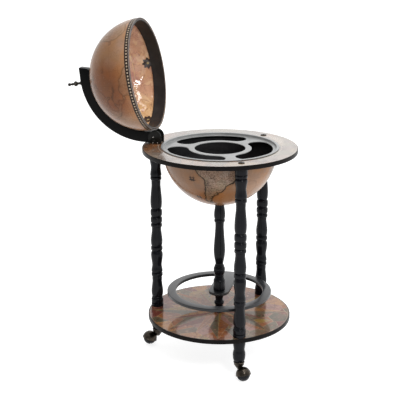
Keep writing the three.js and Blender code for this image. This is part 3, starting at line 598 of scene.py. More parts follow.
    # small dark motifs at sea: a hull with two masts and sails
    for (lo0, la0, size, amt) in ((-84.5, -19.0, 3.9, 1.0), (-84.5, -44.5, 3.6, 1.0), (-30.0, -12.0, 2.6, 0.6), (10.0, -46.0, 3.2, 0.6), (-140.0, -40.0, 4.0, 0.7), (70.0, -40.0, 3.0, 0.6), (-160.0, 42.0, 3.4, 0.6), (-50.0, 30.0, 3.0, 0.6), (150.0, -22.0, 2.6, 0.5), (-20.0, 20.0, 3.0, 0.6), (176.0, 14.0, 3.4, 0.6)):
        az, la = rad(lo0 + LON_TURN), rad(la0)
        c = Vector((math.cos(la) * math.cos(az), math.cos(la) * math.sin(az), math.sin(la)))
        e = Vector((-math.sin(az), math.cos(az), 0.0))
        nn = c.cross(e)
        X = g.m("MULTIPLY", g.v("DOT_PRODUCT", u, tuple(e)), 57.3)
        Y = g.m("MULTIPLY", g.v("DOT_PRODUCT", u, tuple(nn)), 57.3)
        D = g.v("DOT_PRODUCT", u, tuple(c))
        X = g.m("ADD", X, g.m("MULTIPLY", g.m("SUBTRACT", wob, 0.5), 3.0))
        Y = g.m("ADD", Y, g.m("MULTIPLY", g.m("SUBTRACT", fine, 0.5), 3.0))
        ax, ay = g.m("ABSOLUTE", X), g.m("ABSOLUTE", Y)
        hull = g.step(g.v("LENGTH", g.comb(g.m("DIVIDE", X, size), g.m("DIVIDE", g.m("ADD", Y, size * 0.35), size * 0.28), 0.0)), 0.85, 1.05, 1.0, 0.0)
        mast = g.mul(g.m("MAXIMUM", g.line(g.m("SUBTRACT", ax, size * 0.36), size * 0.09, 0.1), g.line(g.m("SUBTRACT", Y, size * 0.35), size * 0.1, 0.1)), g.step(g.m("MAXIMUM", ax, ay), size * 0.75, size * 0.85, 1.0, 0.0))
        sail = g.mul(g.step(g.v("LENGTH", g.comb(g.m("DIVIDE", g.m("SUBTRACT", ax, size * 0.4), size * 0.33), g.m("DIVIDE", g.m("SUBTRACT", Y, size * 0.15), size * 0.36), 0.0)), 0.8, 1.05, 1.0, 0.0), 0.55)
        shape = g.m("MAXIMUM", g.m("MAXIMUM", hull, mast), sail)
        col = g.mix(g.mul(shape, g.step(D, 0.9, 0.95), amt * (0.6 if lid_side else 1.0)), col, INK)
    height = g.m("MULTIPLY", g.line(sd, 0.5, 0.2), -0.4)
    # age: browned blotches
    age = g.noise(g.v("ADD", u, (5.0, 5.0, 2.0)), 7.0, 6.0, 0.65)
    col = g.mix(g.mul(g.step(age, 0.56, 0.78), 0.4), col, (0.10, 0.052, 0.03))
    if lid_side:
        # darker upper half, partly worn and partly painted shade: olive and reddish patches, and faint vertical rubs
        tone = g.noise(g.v("ADD", u, (1.3, 0.2, 7.7)), 2.6, 3.0, 0.5)
        col = g.mix(g.mul(g.step(tone, 0.48, 0.62), 0.35), col, (0.145, 0.085, 0.042))
        col = g.mix(g.mul(g.step(tone, 0.47, 0.34), 0.4), col, (0.165, 0.07, 0.036))
        rub = g.noise(g.comb(g.m("MULTIPLY", lon, 0.9), g.m("MULTIPLY", lat, 0.12), 0.0), 1.6, 4.0, 0.65)
        col = g.mix(g.mul(g.step(rub, 0.56, 0.7), 0.16), col, INK_RED)
        marks = g.mul(g.step(g.noise(u, 38.0, 4.0, 0.7), 0.60, 0.66), g.step(g.noise(g.v("ADD", u, (4.0, 1.0, 2.0)), 4.2, 2.0, 0.5), 0.5, 0.56))
        col = g.mix(g.mul(marks, 0.5), col, INK_RED)
        # painted shade: darker and browner on the lid's lower part, towards the hinge; painted light: paler by the rim
        lid_painted_shade_low = g.step(g.v("DOT_PRODUCT", u, (-0.873, 0.09, 0.480)), 0.78, 0.99)
        col = g.mix(g.mul(lid_painted_shade_low, 0.9), col, g.mix(1.0, col, (0.64, 0.41, 0.26), "MULTIPLY"))
        # painted light: the print made paler towards the rim
        col = g.mix(g.step(z, 0.34, 0.08), col, g.mix(1.0, col, (1.34, 1.42, 1.48), "MULTIPLY"))
        # fine reddish strokes low by the arm, dark ones over the rim by the hinge
        fs = g.noise(g.v("MULTIPLY", u, (1.0, 1.0, 2.2)), 52.0, 4.0, 0.7)
        for dirn, ink, amt in (((-0.713, 0.301, 0.633), INK_RED, 0.75), ((-0.834, 0.502, 0.231), INK, 0.6), ((-0.86, -0.42, 0.29), INK_RED, 0.35), ((0.70, 0.35, 0.62), INK_RED, 0.6), ((0.1, -0.9, 0.42), INK, 0.5)):
            zone = g.step(g.v("DOT_PRODUCT", u, dirn), 0.955, 0.985)
            col = g.mix(g.mul(zone, g.step(fs, 0.56, 0.62), amt), col, ink)
        col = g.mix(1.0, col, (1.06, 0.98, 0.89), "MULTIPLY")
    else:
        # painted light: the bowl's print made lighter on its right side
        right = g.step(g.v("DOT_PRODUCT", u, (-0.57, -0.62, -0.54)), 0.72, 0.98)
        col = g.mix(g.mul(right, 0.8), col, g.mix(1.0, col, (1.36, 1.39, 1.42), "MULTIPLY"))
        # painted shade: the bowl's print made darker on its left side
        left = g.step(g.v("DOT_PRODUCT", u, (-0.715, 0.456, -0.53)), 0.78, 0.98)
        col = g.mix(g.mul(left, 0.8), col, g.mix(1.0, col, (0.86, 0.84, 0.84), "MULTIPLY"))
        # painted shade: darker and browner low on the bowl's front, towards the floor
        foot = g.step(g.v("DOT_PRODUCT", u, (-0.55, -0.10, -0.83)), 0.80, 0.98)
        col = g.mix(g.mul(foot, 0.8), col, g.mix(1.0, col, (0.81, 0.63, 0.44), "MULTIPLY"))
        col = g.mix(1.0, col, (1.07, 1.02, 0.93), "MULTIPLY")
    g.color(col)
    g.rough(g.m("MULTIPLY_ADD", mott, 0.12, 0.2))
    g.bump(g.m("ADD", height, g.m("ADD", g.m("MULTIPLY", fine, 0.25), g.m("MULTIPLY", mott, 0.5))), 0.12, 0.0008)
    return g.mat


def rim_band():
    """Printed band at the lid's rim: a row of small cream blocks on near black, and a pale line at its lower edge."""
    g = Mat("lid_rim_band", Specular_IOR_Level=0.12)
    q = g.attr("q")
    x, y, z = g.sep(q)
    lon = g.m("MULTIPLY", g.m("ARCTAN2", y, x), 57.29578)
    zz = g.m("MULTIPLY", z, 1000.0)
    n1 = g.noise(q, 120.0, 4.0, 0.6)
    c = g.mix(g.step(n1, 0.35, 0.7), (0.013, 0.009, 0.008), (0.022, 0.014, 0.011))
    du = g.m("MULTIPLY", g.m("ABSOLUTE", g.m("SUBTRACT", g.m("FRACT", g.m("MULTIPLY_ADD", lon, 114 / 360.0, 400.0)), 0.5)), 9.0)
    dz = g.m("ABSOLUTE", g.m("SUBTRACT", zz, 0.35))
    rx = g.m("MAXIMUM", g.m("SUBTRACT", du, 1.25), 0.0)
    rz = g.m("MAXIMUM", g.m("SUBTRACT", dz, 1.15), 0.0)
    block = g.step(g.v("LENGTH", g.comb(rx, rz, 0.0)), 0.8, 1.15, 1.0, 0.0)
    c = g.mix(block, c, g.mix(g.step(n1, 0.4, 0.65), (0.36, 0.28, 0.20), (0.27, 0.20, 0.14)))
    c = g.mix(g.mul(g.line(g.m("SUBTRACT", zz, 6.1), 0.35, 0.15), 0.5), c, (0.12, 0.08, 0.055))
    c = g.mix(g.step(zz, -5.2, -5.0, 1.0, 0.0), c, (0.21, 0.165, 0.14))
    g.color(c)
    g.rough(g.m("MULTIPLY_ADD", n1, 0.14, 0.34))
    g.bump(g.m("ADD", block, g.m("MULTIPLY", n1, 0.4)), 0.15, 0.0004)
    return g.mat


def lid_picture():
    """Generic picture of the sky inside the lid: warm clouds, ruled rings, a sun at the pole and dark compass stars."""
    g = Mat("lid_sky_print", IOR=1.5)
    q = g.attr("q")
    u = g.v("NORMALIZE", q)
    x, y, z = g.sep(u)
    th = g.m("MULTIPLY", g.m("ARCCOSINE", z), 57.29578)
    ph = g.m("MULTIPLY", g.m("ARCTAN2", y, x), 57.29578)
    warp = g.noise(u, 2.4, 3.0, 0.5, color=True)
    uw = g.v("ADD", u, g.v("SCALE", warp, scale=0.9))
    swirl = g.noise(uw, 3.2, 5.0, 0.55, 0.6)
    big = g.noise(u, 1.7, 3.0, 0.5)
    c = g.mix(g.step(big, 0.36, 0.64), (0.40, 0.165, 0.085), (0.44, 0.205, 0.085))
    c = g.mix(g.mul(g.step(y, 0.15, 0.75), 0.6), c, (0.47, 0.24, 0.075))
    c = g.mix(g.mul(g.step(y, -0.1, -0.8), 0.5), c, (0.37, 0.165, 0.105))
    c = g.mix(g.mul(g.step(swirl, 0.5, 0.62), 0.55), c, (0.52, 0.29, 0.12))
    c = g.mix(g.mul(g.step(swirl, 0.66, 0.74), 0.5), c, (0.56, 0.37, 0.20))
    c = g.mix(g.mul(g.step(swirl, 0.44, 0.34), 0.55), c, (0.27, 0.095, 0.055))
    vein = g.line(g.m("SUBTRACT", swirl, 0.5), 0.006, 0.005)
    c = g.mix(g.mul(vein, 0.6), c, (0.15, 0.06, 0.03))
    gold, dark = (0.48, 0.29, 0.085), (0.045, 0.028, 0.022)
    for r0, w, cc, a in ((30.0, 0.5, gold, 0.9), (31.6, 0.2, dark, 0.7), (52.0, 0.3, gold, 0.5), (59.5, 0.3, gold, 0.5), (60.6, 0.15, dark, 0.35)):
        c = g.mix(g.mul(g.line(g.m("SUBTRACT", th, r0), w, 0.12), a), c, cc)
    # sun at the pole
    ray = g.m("ABSOLUTE", g.m("SUBTRACT", g.m("FRACT", g.m("MULTIPLY_ADD", ph, 16 / 360.0, 50.0)), 0.5))
    reach = g.m("MULTIPLY_ADD", ray, -26.0, 25.0)
    sun = g.step(g.m("SUBTRACT", th, reach), -0.25, 0.25, 1.0, 0.0)
    c = g.mix(g.mul(sun, 0.85), c, (0.52, 0.31, 0.10))
    c = g.mix(g.mul(g.line(g.m("SUBTRACT", th, reach), 0.35, 0.15), 0.8), c, dark)
    c = g.mix(g.step(th, 10.8, 11.2, 1.0, 0.0), c, (0.48, 0.24, 0.075))
    c = g.mix(g.mul(g.line(g.m("SUBTRACT", th, 11.0), 0.3, 0.12), 0.9), c, dark)
    # dark compass stars near the rim
    for (t0, p0, size) in ((76.2, -4.8, 6.6), (76.2, 67.2, 6.6), (76.2, 139.2, 6.6), (76.2, 211.2, 6.6), (76.2, 283.2, 6.6)):
        st, ct = math.sin(rad(t0)), math.cos(rad(t0))
        cc = Vector((st * math.cos(rad(p0)), st * math.sin(rad(p0)), ct))
        e = Vector((-math.sin(rad(p0)), math.cos(rad(p0)), 0.0))
        nn = cc.cross(e)
        X = g.m("MULTIPLY", g.v("DOT_PRODUCT", u, tuple(e)), 57.3)
        Y = g.m("MULTIPLY", g.v("DOT_PRODUCT", u, tuple(nn)), 57.3)
        D = g.v("DOT_PRODUCT", u, tuple(cc))
        r = g.v("LENGTH", g.comb(X, Y, 0.0))
        a = g.m("MULTIPLY", g.m("ARCTAN2", Y, X), 8 / (2 * math.pi))
        fold = g.m("ABSOLUTE", g.m("SUBTRACT", g.m("FRACT", g.m("ADD", a, 20.5)), 0.5))
        rr = g.m("MULTIPLY_ADD", fold, -0.62 * size, size)
        front = g.step(D, 0.85, 0.9)
        star = g.step(g.m("SUBTRACT", r, rr), -0.25, 0.25, 1.0, 0.0)
        c = g.mix(g.mul(star, front, 0.97), c, (0.020, 0.012, 0.009))
        c = g.mix(g.mul(g.step(r, size * 0.16, size * 0.22, 1.0, 0.0), front, 0.5), c, gold)
    # little stars
    sv = g.voronoi(u, 13.0, "F1", "Distance")
    c = g.mix(g.mul(g.step(sv, 0.05, 0.09, 1.0, 0.0), g.step(th, 31.0, 33.0), 0.5), c, (0.55, 0.41, 0.19))
    speck = g.noise(u, 60.0, 4.0, 0.6)
    c = g.mix(g.mul(g.step(speck, 0.62, 0.76), 0.3), c, (0.17, 0.07, 0.035))
    c = g.mix(1.0, c, (1.20, 1.50, 2.12), "MULTIPLY")
    g.color(c)
    g.rough(g.m("MULTIPLY_ADD", speck, 0.03, 0.035))
    # the paper lies in soft wrinkles under the gloss
    wr = g.noise(g.v("ADD", u, g.v("SCALE", g.noise(u, 3.0, 2.0, 0.5, color=True), scale=0.3)), 4.8, 1.0, 0.35)
    g.bump(g.m("ADD", wr, g.m("MULTIPLY", speck, 0.006)), 1.0, 0.0078)
    return g.mat


def ring_print():
    """Print on the table: patches of an old map between ruled lines, under thick gloss, with a painted reflection by
    the hinge.
    """
    g = Mat("table_map_print", Specular_IOR_Level=0.35)
    g.bsdf.inputs["Coat Weight"].default_value = 0.5
    g.bsdf.inputs["Coat Roughness"].default_value = 0.06
    q = g.attr("q")
    x, y, z = g.sep(q)
    p = g.comb(x, y, 0.0)
    r = g.m("MULTIPLY", g.v("LENGTH", p), 1000.0)
    a = g.m("MULTIPLY", g.m("ARCTAN2", y, x), 57.29578)
    warp = g.v("ADD", p, g.v("SCALE", g.noise(p, 22.0, 4.0, 0.55, color=True), scale=0.03))
    cells = g.voronoi(warp, 13.0)
    cx, cy, cz = g.sep(cells)
    big = g.noise(p, 6.0, 3.0, 0.5)
    c = g.mix(g.step(big, 0.4, 0.62), (0.165, 0.118, 0.088), (0.135, 0.102, 0.082))
    c = g.mix(g.mul(g.step(cx, 0.62, 0.66), 0.7), c, (0.170, 0.088, 0.045))
    c = g.mix(g.mul(g.step(cy, 0.70, 0.74), 0.6), c, (0.175, 0.130, 0.065))
    c = g.mix(g.mul(g.step(cz, 0.80, 0.84), 0.6), c, (0.10, 0.098, 0.072))
    edge = g.voronoi(warp, 13.0, "DISTANCE_TO_EDGE", "Distance")
    c = g.mix(g.mul(g.step(edge, 0.010, 0.026, 1.0, 0.0), 0.6), c, INK)
    coast = g.m("SUBTRACT", g.noise(p, 17.0, 5.0, 0.55), 0.5)
    c = g.mix(g.mul(g.line(coast, 0.006, 0.004), 0.5), c, INK)
    mott = g.noise(p, 120.0, 5.0, 0.6)
    c = g.mix(g.mul(g.step(mott, 0.5, 0.75), 0.45), c, (0.085, 0.045, 0.028))
    stain = g.noise(g.v("ADD", p, (0.31, 0.0, 0.0)), 8.0, 5.0, 0.62)
    c = g.mix(g.mul(g.step(stain, 0.53, 0.60), 0.85), c, (0.060, 0.030, 0.018))
    c = g.mix(g.mul(g.step(stain, 0.60, 0.66), 0.8), c, (0.210, 0.086, 0.030))
    c = g.mix(g.mul(g.step(stain, 0.46, 0.38), 0.7), c, (0.245, 0.190, 0.145))
    # painted reflection: orange patches on the print by the hinge, standing in for the dark hinge and arm mirrored in
    # the gloss
    c = g.mix(g.mul(g.step(y, 0.160, 0.200), g.step(mott, 0.38, 0.56), 0.6), c, (0.290, 0.120, 0.042))
    for r0, w, cc, k in ((179.0, 1.1, (0.26, 0.20, 0.15), 0.8), (181.0, 0.5, INK, 0.9), (176.4, 0.4, INK, 0.8), (218.6, 0.45, INK, 0.7), (221.4, 1.3, (0.22, 0.17, 0.13), 0.7)):
        c = g.mix(g.mul(g.line(g.m("SUBTRACT", r, r0), w, 0.15), k), c, cc)
    tick = g.mul(g.line(g.m("SUBTRACT", g.m("FRACT", g.m("MULTIPLY_ADD", a, 0.5, 100.5)), 0.5), 0.06, 0.03), g.line(g.m("SUBTRACT", r, 221.4), 1.3, 0.15))
    c = g.mix(g.mul(tick, 0.6), c, INK)
    g.color(c)
    g.rough(g.m("MULTIPLY_ADD", mott, 0.1, 0.2))
    g.bump(g.m("ADD", g.noise(p, 60.0, 3.0, 0.5), g.m("MULTIPLY", mott, 0.2)), 0.08, 0.001)
    return g.mat


def shelf_print():
    """Print on the shelf: a wind star of broad coloured wedges over shards of an old map, in worn earth colours, with a
    painted highlight at its outer edge.
    """
    g = Mat("shelf_star_print", Specular_IOR_Level=0.12)
    g.bsdf.inputs["Coat Weight"].default_value = 0.4
    g.bsdf.inputs["Coat Roughness"].default_value = 0.05
    q = g.attr("q")
    x, y, z = g.sep(q)
    p = g.comb(x, y, 0.0)
    r = g.m("MULTIPLY", g.v("LENGTH", p), 1000.0)
    a = g.m("ADD", g.m("MULTIPLY", g.m("ARCTAN2", y, x), 1 / (2 * math.pi)), 0.53)
    big = g.noise(p, 9.0, 4.0, 0.55)
    mott = g.noise(p, 95.0, 5.0, 0.6)
    cream = (0.23, 0.175, 0.105)
    palette = [(0.0, (0.190, 0.066, 0.018)), (0.15, (0.110, 0.030, 0.022)), (0.28, (0.060, 0.058, 0.034)), (0.43, (0.195, 0.128, 0.030)),
               (0.57, (0.200, 0.098, 0.078)), (0.70, (0.255, 0.130, 0.045)), (0.84, (0.090, 0.078, 0.048))]
    # ground: irregular shards outlined in cream
    jig = g.v("ADD", p, g.v("SCALE", g.noise(p, 5.0, 1.0, 0.5, color=True), scale=0.05))
    shard = g.voronoi(jig, 19.0)
    sx, sy, sz = g.sep(shard)
    c = g.ramp(sx, palette, "CONSTANT")
    c = g.mix(g.step(big, 0.42, 0.58, 0.0, 0.35), c, (0.21, 0.12, 0.09))
    c = g.mix(g.mul(g.step(g.voronoi(jig, 19.0, "DISTANCE_TO_EDGE", "Distance"), 0.010, 0.022, 1.0, 0.0), 0.75), c, cream)
    # (points, phase, outer radius, inner radius, seed)
    for n, phase, ro, ri, seed in ((8, 0.0, 204.0, 96.0, 3.0), (8, 0.5, 172.0, 52.0, 17.0), (8, 0.0, 112.0, 24.0, 41.0)):
        s = g.m("MULTIPLY_ADD", a, float(n), phase + 100.0)
        idx = g.m("FLOOR", s)
        f = g.m("SUBTRACT", s, idx)
        d = g.m("ABSOLUTE", g.m("SUBTRACT", f, 0.5))          # 0 in the middle of a wedge, 0.5 at its side
        half = g.m("LESS_THAN", f, 0.5)
        # straight sides: the reach follows the line from the tip to the next valley
        ang = g.m("MULTIPLY", d, 2 * math.pi / n)
        b0 = math.pi / n
        den = g.m("ADD", g.m("MULTIPLY", g.m("COSINE", ang), ri * math.sin(b0)), g.m("MULTIPLY", g.m("SINE", ang), ro - ri * math.cos(b0)))
        tip = g.m("DIVIDE", ro * ri * math.sin(b0), den)
        inside = g.step(g.m("SUBTRACT", r, tip), -0.4, 0.4, 1.0, 0.0)
        tone = g.white(g.m("ADD", g.m("ADD", idx, seed), g.m("MULTIPLY", half, 0.37)))
        wc = g.ramp(tone, palette, "CONSTANT")
        wc = g.mix(g.mul(g.step(mott, 0.4, 0.7), 0.4), wc, (0.13, 0.075, 0.05))
        c = g.mix(g.mul(inside, 0.93), c, wc)
        c = g.mix(g.mul(g.line(g.m("SUBTRACT", r, tip), 1.3, 0.4), 0.85), c, cream)
        ridge = g.mul(g.line(g.m("MULTIPLY", g.m("MULTIPLY", g.m("SUBTRACT", f, 0.5), 2 * math.pi / n), r), 0.6, 0.3), inside)
        c = g.mix(g.mul(ridge, 0.75), c, cream)
    for r0, w, cc, k in ((209.0, 0.8, cream, 0.7), (207.0, 0.4, INK, 0.8), (211.6, 0.9, (0.03, 0.02, 0.015), 0.9)):
        c = g.mix(g.mul(g.line(g.m("SUBTRACT", r, r0), w, 0.15), k), c, cc)
    coast = g.m("SUBTRACT", g.noise(p, 15.0, 5.0, 0.6), 0.5)
    c = g.mix(g.mul(g.line(coast, 0.010, 0.006), 0.6), c, INK_RED)
    vein = g.m("SUBTRACT", g.noise(g.v("ADD", p, (0.2, 0.4, 0.0)), 30.0, 6.0, 0.65), 0.5)
    c = g.mix(g.mul(g.line(vein, 0.012, 0.010), 0.55), c, (0.120, 0.034, 0.022))
    c = g.mix(g.mul(g.step(g.noise(p, 40.0, 5.0, 0.6), 0.53, 0.70), 0.55), c, (0.055, 0.022, 0.015))
    c = g.mix(g.mul(g.step(g.noise(p, 62.0, 5.0, 0.6), 0.56, 0.68), 0.45), c, (0.33, 0.20, 0.13))
    # painted highlight: a pale grey line along the outer edge of the print, where the rounded edge catches the light
    c = g.mix(g.mul(g.step(r, 212.3, 212.8), 0.9), c, (0.150, 0.135, 0.120))
    c = g.mix(1.0, c, (1.08, 1.00, 0.94), "MULTIPLY")
    g.color(c)
    g.rough(g.m("MULTIPLY_ADD", mott, 0.1, 0.18))
    g.bump(g.m("ADD", g.noise(p, 55.0, 3.0, 0.5), g.m("MULTIPLY", mott, 0.2)), 0.08, 0.001)
    return g.mat


def holder_grey():
    g = Mat("holder_grey", Specular_IOR_Level=0.5)
    q = g.attr("q")
    n1 = g.noise(q, 30.0, 3.0, 0.5)
    n2 = g.noise(q, 1500.0, 2.0, 0.5)
    n3 = g.noise(q, 160.0, 4.0, 0.6)
    c = g.mix(g.step(n1, 0.3, 0.7), (0.165, 0.170, 0.170), (0.195, 0.199, 0.199))
    c = g.mix(g.mul(g.step(n3, 0.62, 0.75), 0.25), c, (0.12, 0.12, 0.125))
    g.color(c)
    g.rough(g.m("MULTIPLY_ADD", n1, 0.12, 0.3))
    g.bump(g.m("ADD", n2, g.m("MULTIPLY", n3, 0.3)), 0.15, 0.0004)
    return g.mat


def plain(name, a, b, rough, level=0.5, metal=0.0, scale=80.0, bump=0.2, peel=900.0, coord="q", var=0.14):
    """Moulded, painted or cast surface: two tones, uneven gloss and a fine surface."""
    g = Mat(name, Specular_IOR_Level=level, Metallic=metal)
    q = g.attr("q") if coord == "q" else g.obj()
    n1 = g.noise(q, scale, 4.0, 0.6)
    n2 = g.noise(q, peel, 3.0, 0.55)
    g.color(g.mix(g.step(n1, 0.35, 0.7), a, b))
    g.rough(g.m("MULTIPLY_ADD", n1, var, rough - var / 2))
    g.bump(g.m("ADD", n2, g.m("MULTIPLY", n1, 0.6)), bump, 0.0004)
    return g.mat


def antique_brass(name="antique_brass", a=(0.074, 0.061, 0.048), b=(0.030, 0.026, 0.022), c3=(0.013, 0.012, 0.011)):
    """Brass darkened by age, brighter where it is rubbed."""
    g = Mat(name, Metallic=1.0)
    q = g.attr("q")
    n1 = g.noise(q, 90.0, 5.0, 0.62)
    n2 = g.noise(q, 420.0, 4.0, 0.6)
    n3 = g.noise(g.v("MULTIPLY", q, (1.0, 1.0, 6.0)), 240.0, 3.0, 0.5)
    c = g.mix(g.step(n1, 0.36, 0.66), a, b)
    c = g.mix(g.mul(g.step(n2, 0.55, 0.72), 0.7), c, c3)
    g.color(c)
    g.rough(g.m("ADD", g.m("MULTIPLY", n1, 0.16), g.m("MULTIPLY_ADD", n3, 0.10, 0.15)))
    g.bump(g.m("ADD", n2, g.m("MULTIPLY", n3, 0.4)), 0.22, 0.0005)
    return g.mat


M_LEG = wood_black("turned_black_wood", 2)
M_ARM = wood_black("cut_black_wood", 1, base=(0.0022, 0.0022, 0.0022), rough=0.30, level=0.07)
M_RAIL = wood_black("rail_black_wood", 0, base=(0.0075, 0.008, 0.0095), rough=0.28, level=0.36)
M_EDGE = edge_lacquer()
M_BOWL = globe_map(False)
M_LID = globe_map(True)
M_SKY = lid_picture()
M_TABLE = ring_print()
M_SHELF = shelf_print()
M_HOLDER = holder_grey()
M_INNER = plain("inner_black", (0.006, 0.006, 0.007), (0.011, 0.011, 0.012), 0.6, 0.15)
M_INNER_O = plain("inner_black_cad", (0.006, 0.006, 0.007), (0.011, 0.011, 0.012), 0.6, 0.15, coord="o")
M_LINER = plain("liner_brown", (0.0130, 0.0114, 0.0110), (0.0186, 0.0162, 0.0152), 0.42, 0.25, scale=40.0)
M_RIM = plain("rim_edge", (0.070, 0.055, 0.048), (0.046, 0.036, 0.032), 0.42, 0.2)
M_BAND = rim_band()
M_IRON = plain("black_iron", (0.0050, 0.0050, 0.0042), (0.0090, 0.0086, 0.0070), 0.26, 0.14, scale=120.0, bump=0.2)
M_STEEL = plain("plated_steel", (0.50, 0.49, 0.46), (0.36, 0.35, 0.33), 0.34, 0.5, 1.0, 160.0)
M_STEEL_O = plain("plated_steel_cad", (0.50, 0.49, 0.46), (0.36, 0.35, 0.33), 0.34, 0.5, 1.0, 160.0, coord="o")
M_BRASS = antique_brass()
M_BRONZE = antique_brass("dark_bronze", (0.040, 0.036, 0.031), (0.020, 0.018, 0.016), (0.010, 0.009, 0.008))
M_WHEEL = plain("wheel_black", (0.0042, 0.0046, 0.0062), (0.0065, 0.0072, 0.0095), 0.26, 0.14, scale=60.0, bump=0.12)

# ---------------------------------------------------------------- legs and feet
LEG = [
    [(18.06, 129.3), (18.4, 130.3), (18.4, 136.6), (18.27, 138.2), (15.65, 139.2)],
    [(15.65, 139.2), (18.06, 141), (18.4, 147), (18.17, 153), (14.91, 156.2)],
    [(14.91, 156.2), (16.7, 157.6), (16.48, 160), (15.23, 161.3)],
    [(15.23, 161.3), (17.43, 166), (18.11, 176.5), (17.43, 187), (15.86, 199), (14.75, 211), (15.33, 219), (14.7, 226)],
    [(14.7, 226), (17.01, 228), (17.22, 232), (16.91, 236.5), (14.6, 238.6)],
    [(14.6, 238.6), (16.91, 241.5), (17.17, 247), (15.96, 254), (14.86, 261.5), (15.33, 268.5), (17.01, 280), (18.22, 292.4), (17.75, 301), (14.7, 309)],
    [(14.7, 309), (17.43, 311.6), (17.9, 317), (17.22, 321.5), (14.28, 323.6)],
    [(14.28, 323.6), (16.91, 327), (17.96, 338), (17.64, 347), (15.96, 361), (14.38, 374.5), (14.6, 380), (14.49, 384.5)],
    [(14.49, 384.5), (17.01, 386.6), (17.27, 390), (16.8, 394), (14.07, 396.5)],
    [(14.07, 396.5), (17.12, 400), (17.69, 407.5), (17.22, 414), (13.86, 418)],
    [(13.86, 418), (17.22, 421.5), (17.8, 430), (17.22, 438), (13.76, 441.8)],
    [(13.76, 441.8), (16.38, 446), (17.69, 461), (17.12, 478), (15.33, 498), (13.86, 514), (14.07, 522), (14.18, 531.5)],
    [(14.18, 531.5), (16.59, 533.5), (16.91, 537.8), (16.48, 541.5), (14.28, 543.3)],
    [(14.28, 543.3), (16.8, 545.5), (17.12, 550), (16.07, 558), (14.75, 569), (15.33, 577), (17.01, 586), (17.85, 593), (17.43, 598), (14.6, 601.2)],
    [(14.6, 601.2), (17.43, 603.4), (17.9, 607), (17.43, 610.5), (15.54, 612.3)],
    [(15.54, 612.3), (17.75, 613.3), (17.85, 614.5), (17.85, 630.8), (17.22, 631.7)],
]
FOOT = [
    [(13.4, 46), (13.9, 46.6), (14.3, 52.5), (17.22, 59), (18.4, 70), (18.06, 79), (15.75, 89)],
    [(15.75, 89), (16.8, 97), (18.17, 106), (18.4, 115), (18.17, 115.7)],
]
POST_UP = [
    [(16.38, 199.8), (17.43, 200.6), (17.64, 203), (17.64, 228), (17.12, 231.5), (15.33, 235), (13.23, 243)],
    [(13.23, 243), (13.86, 244.5), (14.07, 247), (13.55, 249.5)],
    [(13.55, 249.5), (15.75, 254), (17.43, 264), (16.59, 271), (13.86, 274)],
    [(13.86, 274), (14.6, 275.5), (14.28, 278), (12.6, 280)],
    [(12.18, 281), (11.97, 284), (13.23, 292), (15.75, 305), (17.43, 322), (17.32, 335), (16.07, 352), (14.6, 372), (13.23, 392), (12.92, 400), (13.23, 410), (14.07, 414.5)],
    [(14.07, 414.5), (15.86, 416.5), (16.17, 420), (15.65, 423.5), (15.02, 425.3)],
    [(15.02, 425.3), (16.38, 429), (17.01, 438), (16.17, 449), (14.28, 462), (13.86, 470), (13.86, 472.7)],
]
POST_LOW = [
    [(15.33, 129.3), (15.75, 129.8), (16.17, 131), (16.17, 136), (14.18, 141), (11.76, 147), (11.45, 151)],
    [(11.45, 151), (14.07, 154), (15.02, 158.7), (13.86, 163), (11.03, 165.5)],
    [(10.82, 166.3), (11.13, 170), (11.97, 176), (13.86, 182), (15.54, 187), (15.75, 190.1)],
]


def capped(rows):
    return [(0.0, rows[0][1])] + rows + [(0.0, rows[-1][1])]


for side in LEG_AZ:
    build(f"leg_{side}_turned", [lathe(capped(turned(LEG)), 64)], at_leg(side), "stand", M_LEG, (f"leg_{side}",), sharp=24)
    build(f"foot_{side}_turned", [lathe(capped(turned(FOOT)), 64)], at_leg(side), "stand", M_LEG, (f"foot_{side}",), sharp=24)
build("post_upper_turned", [lathe(capped(turned(POST_UP)), 64)], stand, "stand", M_LEG, ("post_upper",), sharp=24)
build("post_lower_turned", [lathe(capped(turned(POST_LOW)), 64)], stand, "stand", M_LEG, ("post_lower",), sharp=24)

# ---------------------------------------------------------------- shelf and table boards
b = 1.3
z0, z1 = SHELF_TOP - SHELF_T, SHELF_TOP
prof, mats = [(0.0, z0)], [0]
for i in range(5):
    t = math.pi / 2 * i / 4
    prof.append((SHELF_R - b + b * math.sin(t), z0 + b - b * math.cos(t)))
    mats.append(0)
for i in range(5):
    t = math.pi / 2 * i / 4
    prof.append((SHELF_R - b + b * math.cos(t), z1 - b + b * math.sin(t)))
    mats.append(0)
for r in (212.6, 190.0, 150.0, 100.0, 50.0, 0.0):
    prof.append((r, z1))
    mats.append(1)
mats[-7] = 0
build("base_shelf_board", [lathe(prof, 192, mats=mats)], stand, "stand", [M_EDGE, M_SHELF], ("base_shelf",), sharp=40)

z0, z1 = TABLE_TOP - TABLE_T, TABLE_TOP
prof, mats = [], []
for cx, cz, a0 in ((TABLE_IN + b, z0 + b, 180), (TABLE_R - b, z0 + b, 270), (TABLE_R - b, z1 - b, 0), (TABLE_IN + b, z1 - b, 90)):
    for i in range(5):
        t = rad(a0 + 90 * i / 4)
        prof.append((cx + b * math.cos(t), cz + b * math.sin(t)))
        mats.append(0)
    if a0 == 0:
        for r in (224.4, 205.0, 185.0):
            mats[-1] = 0 if r == 224.4 else 1
            prof.append((r, z1))
            mats.append(1)
build("table_ring_board", [lathe(prof, 192, loop=True, mats=mats)], stand, "stand", [M_EDGE, M_TABLE], ("table_ring",), sharp=40)

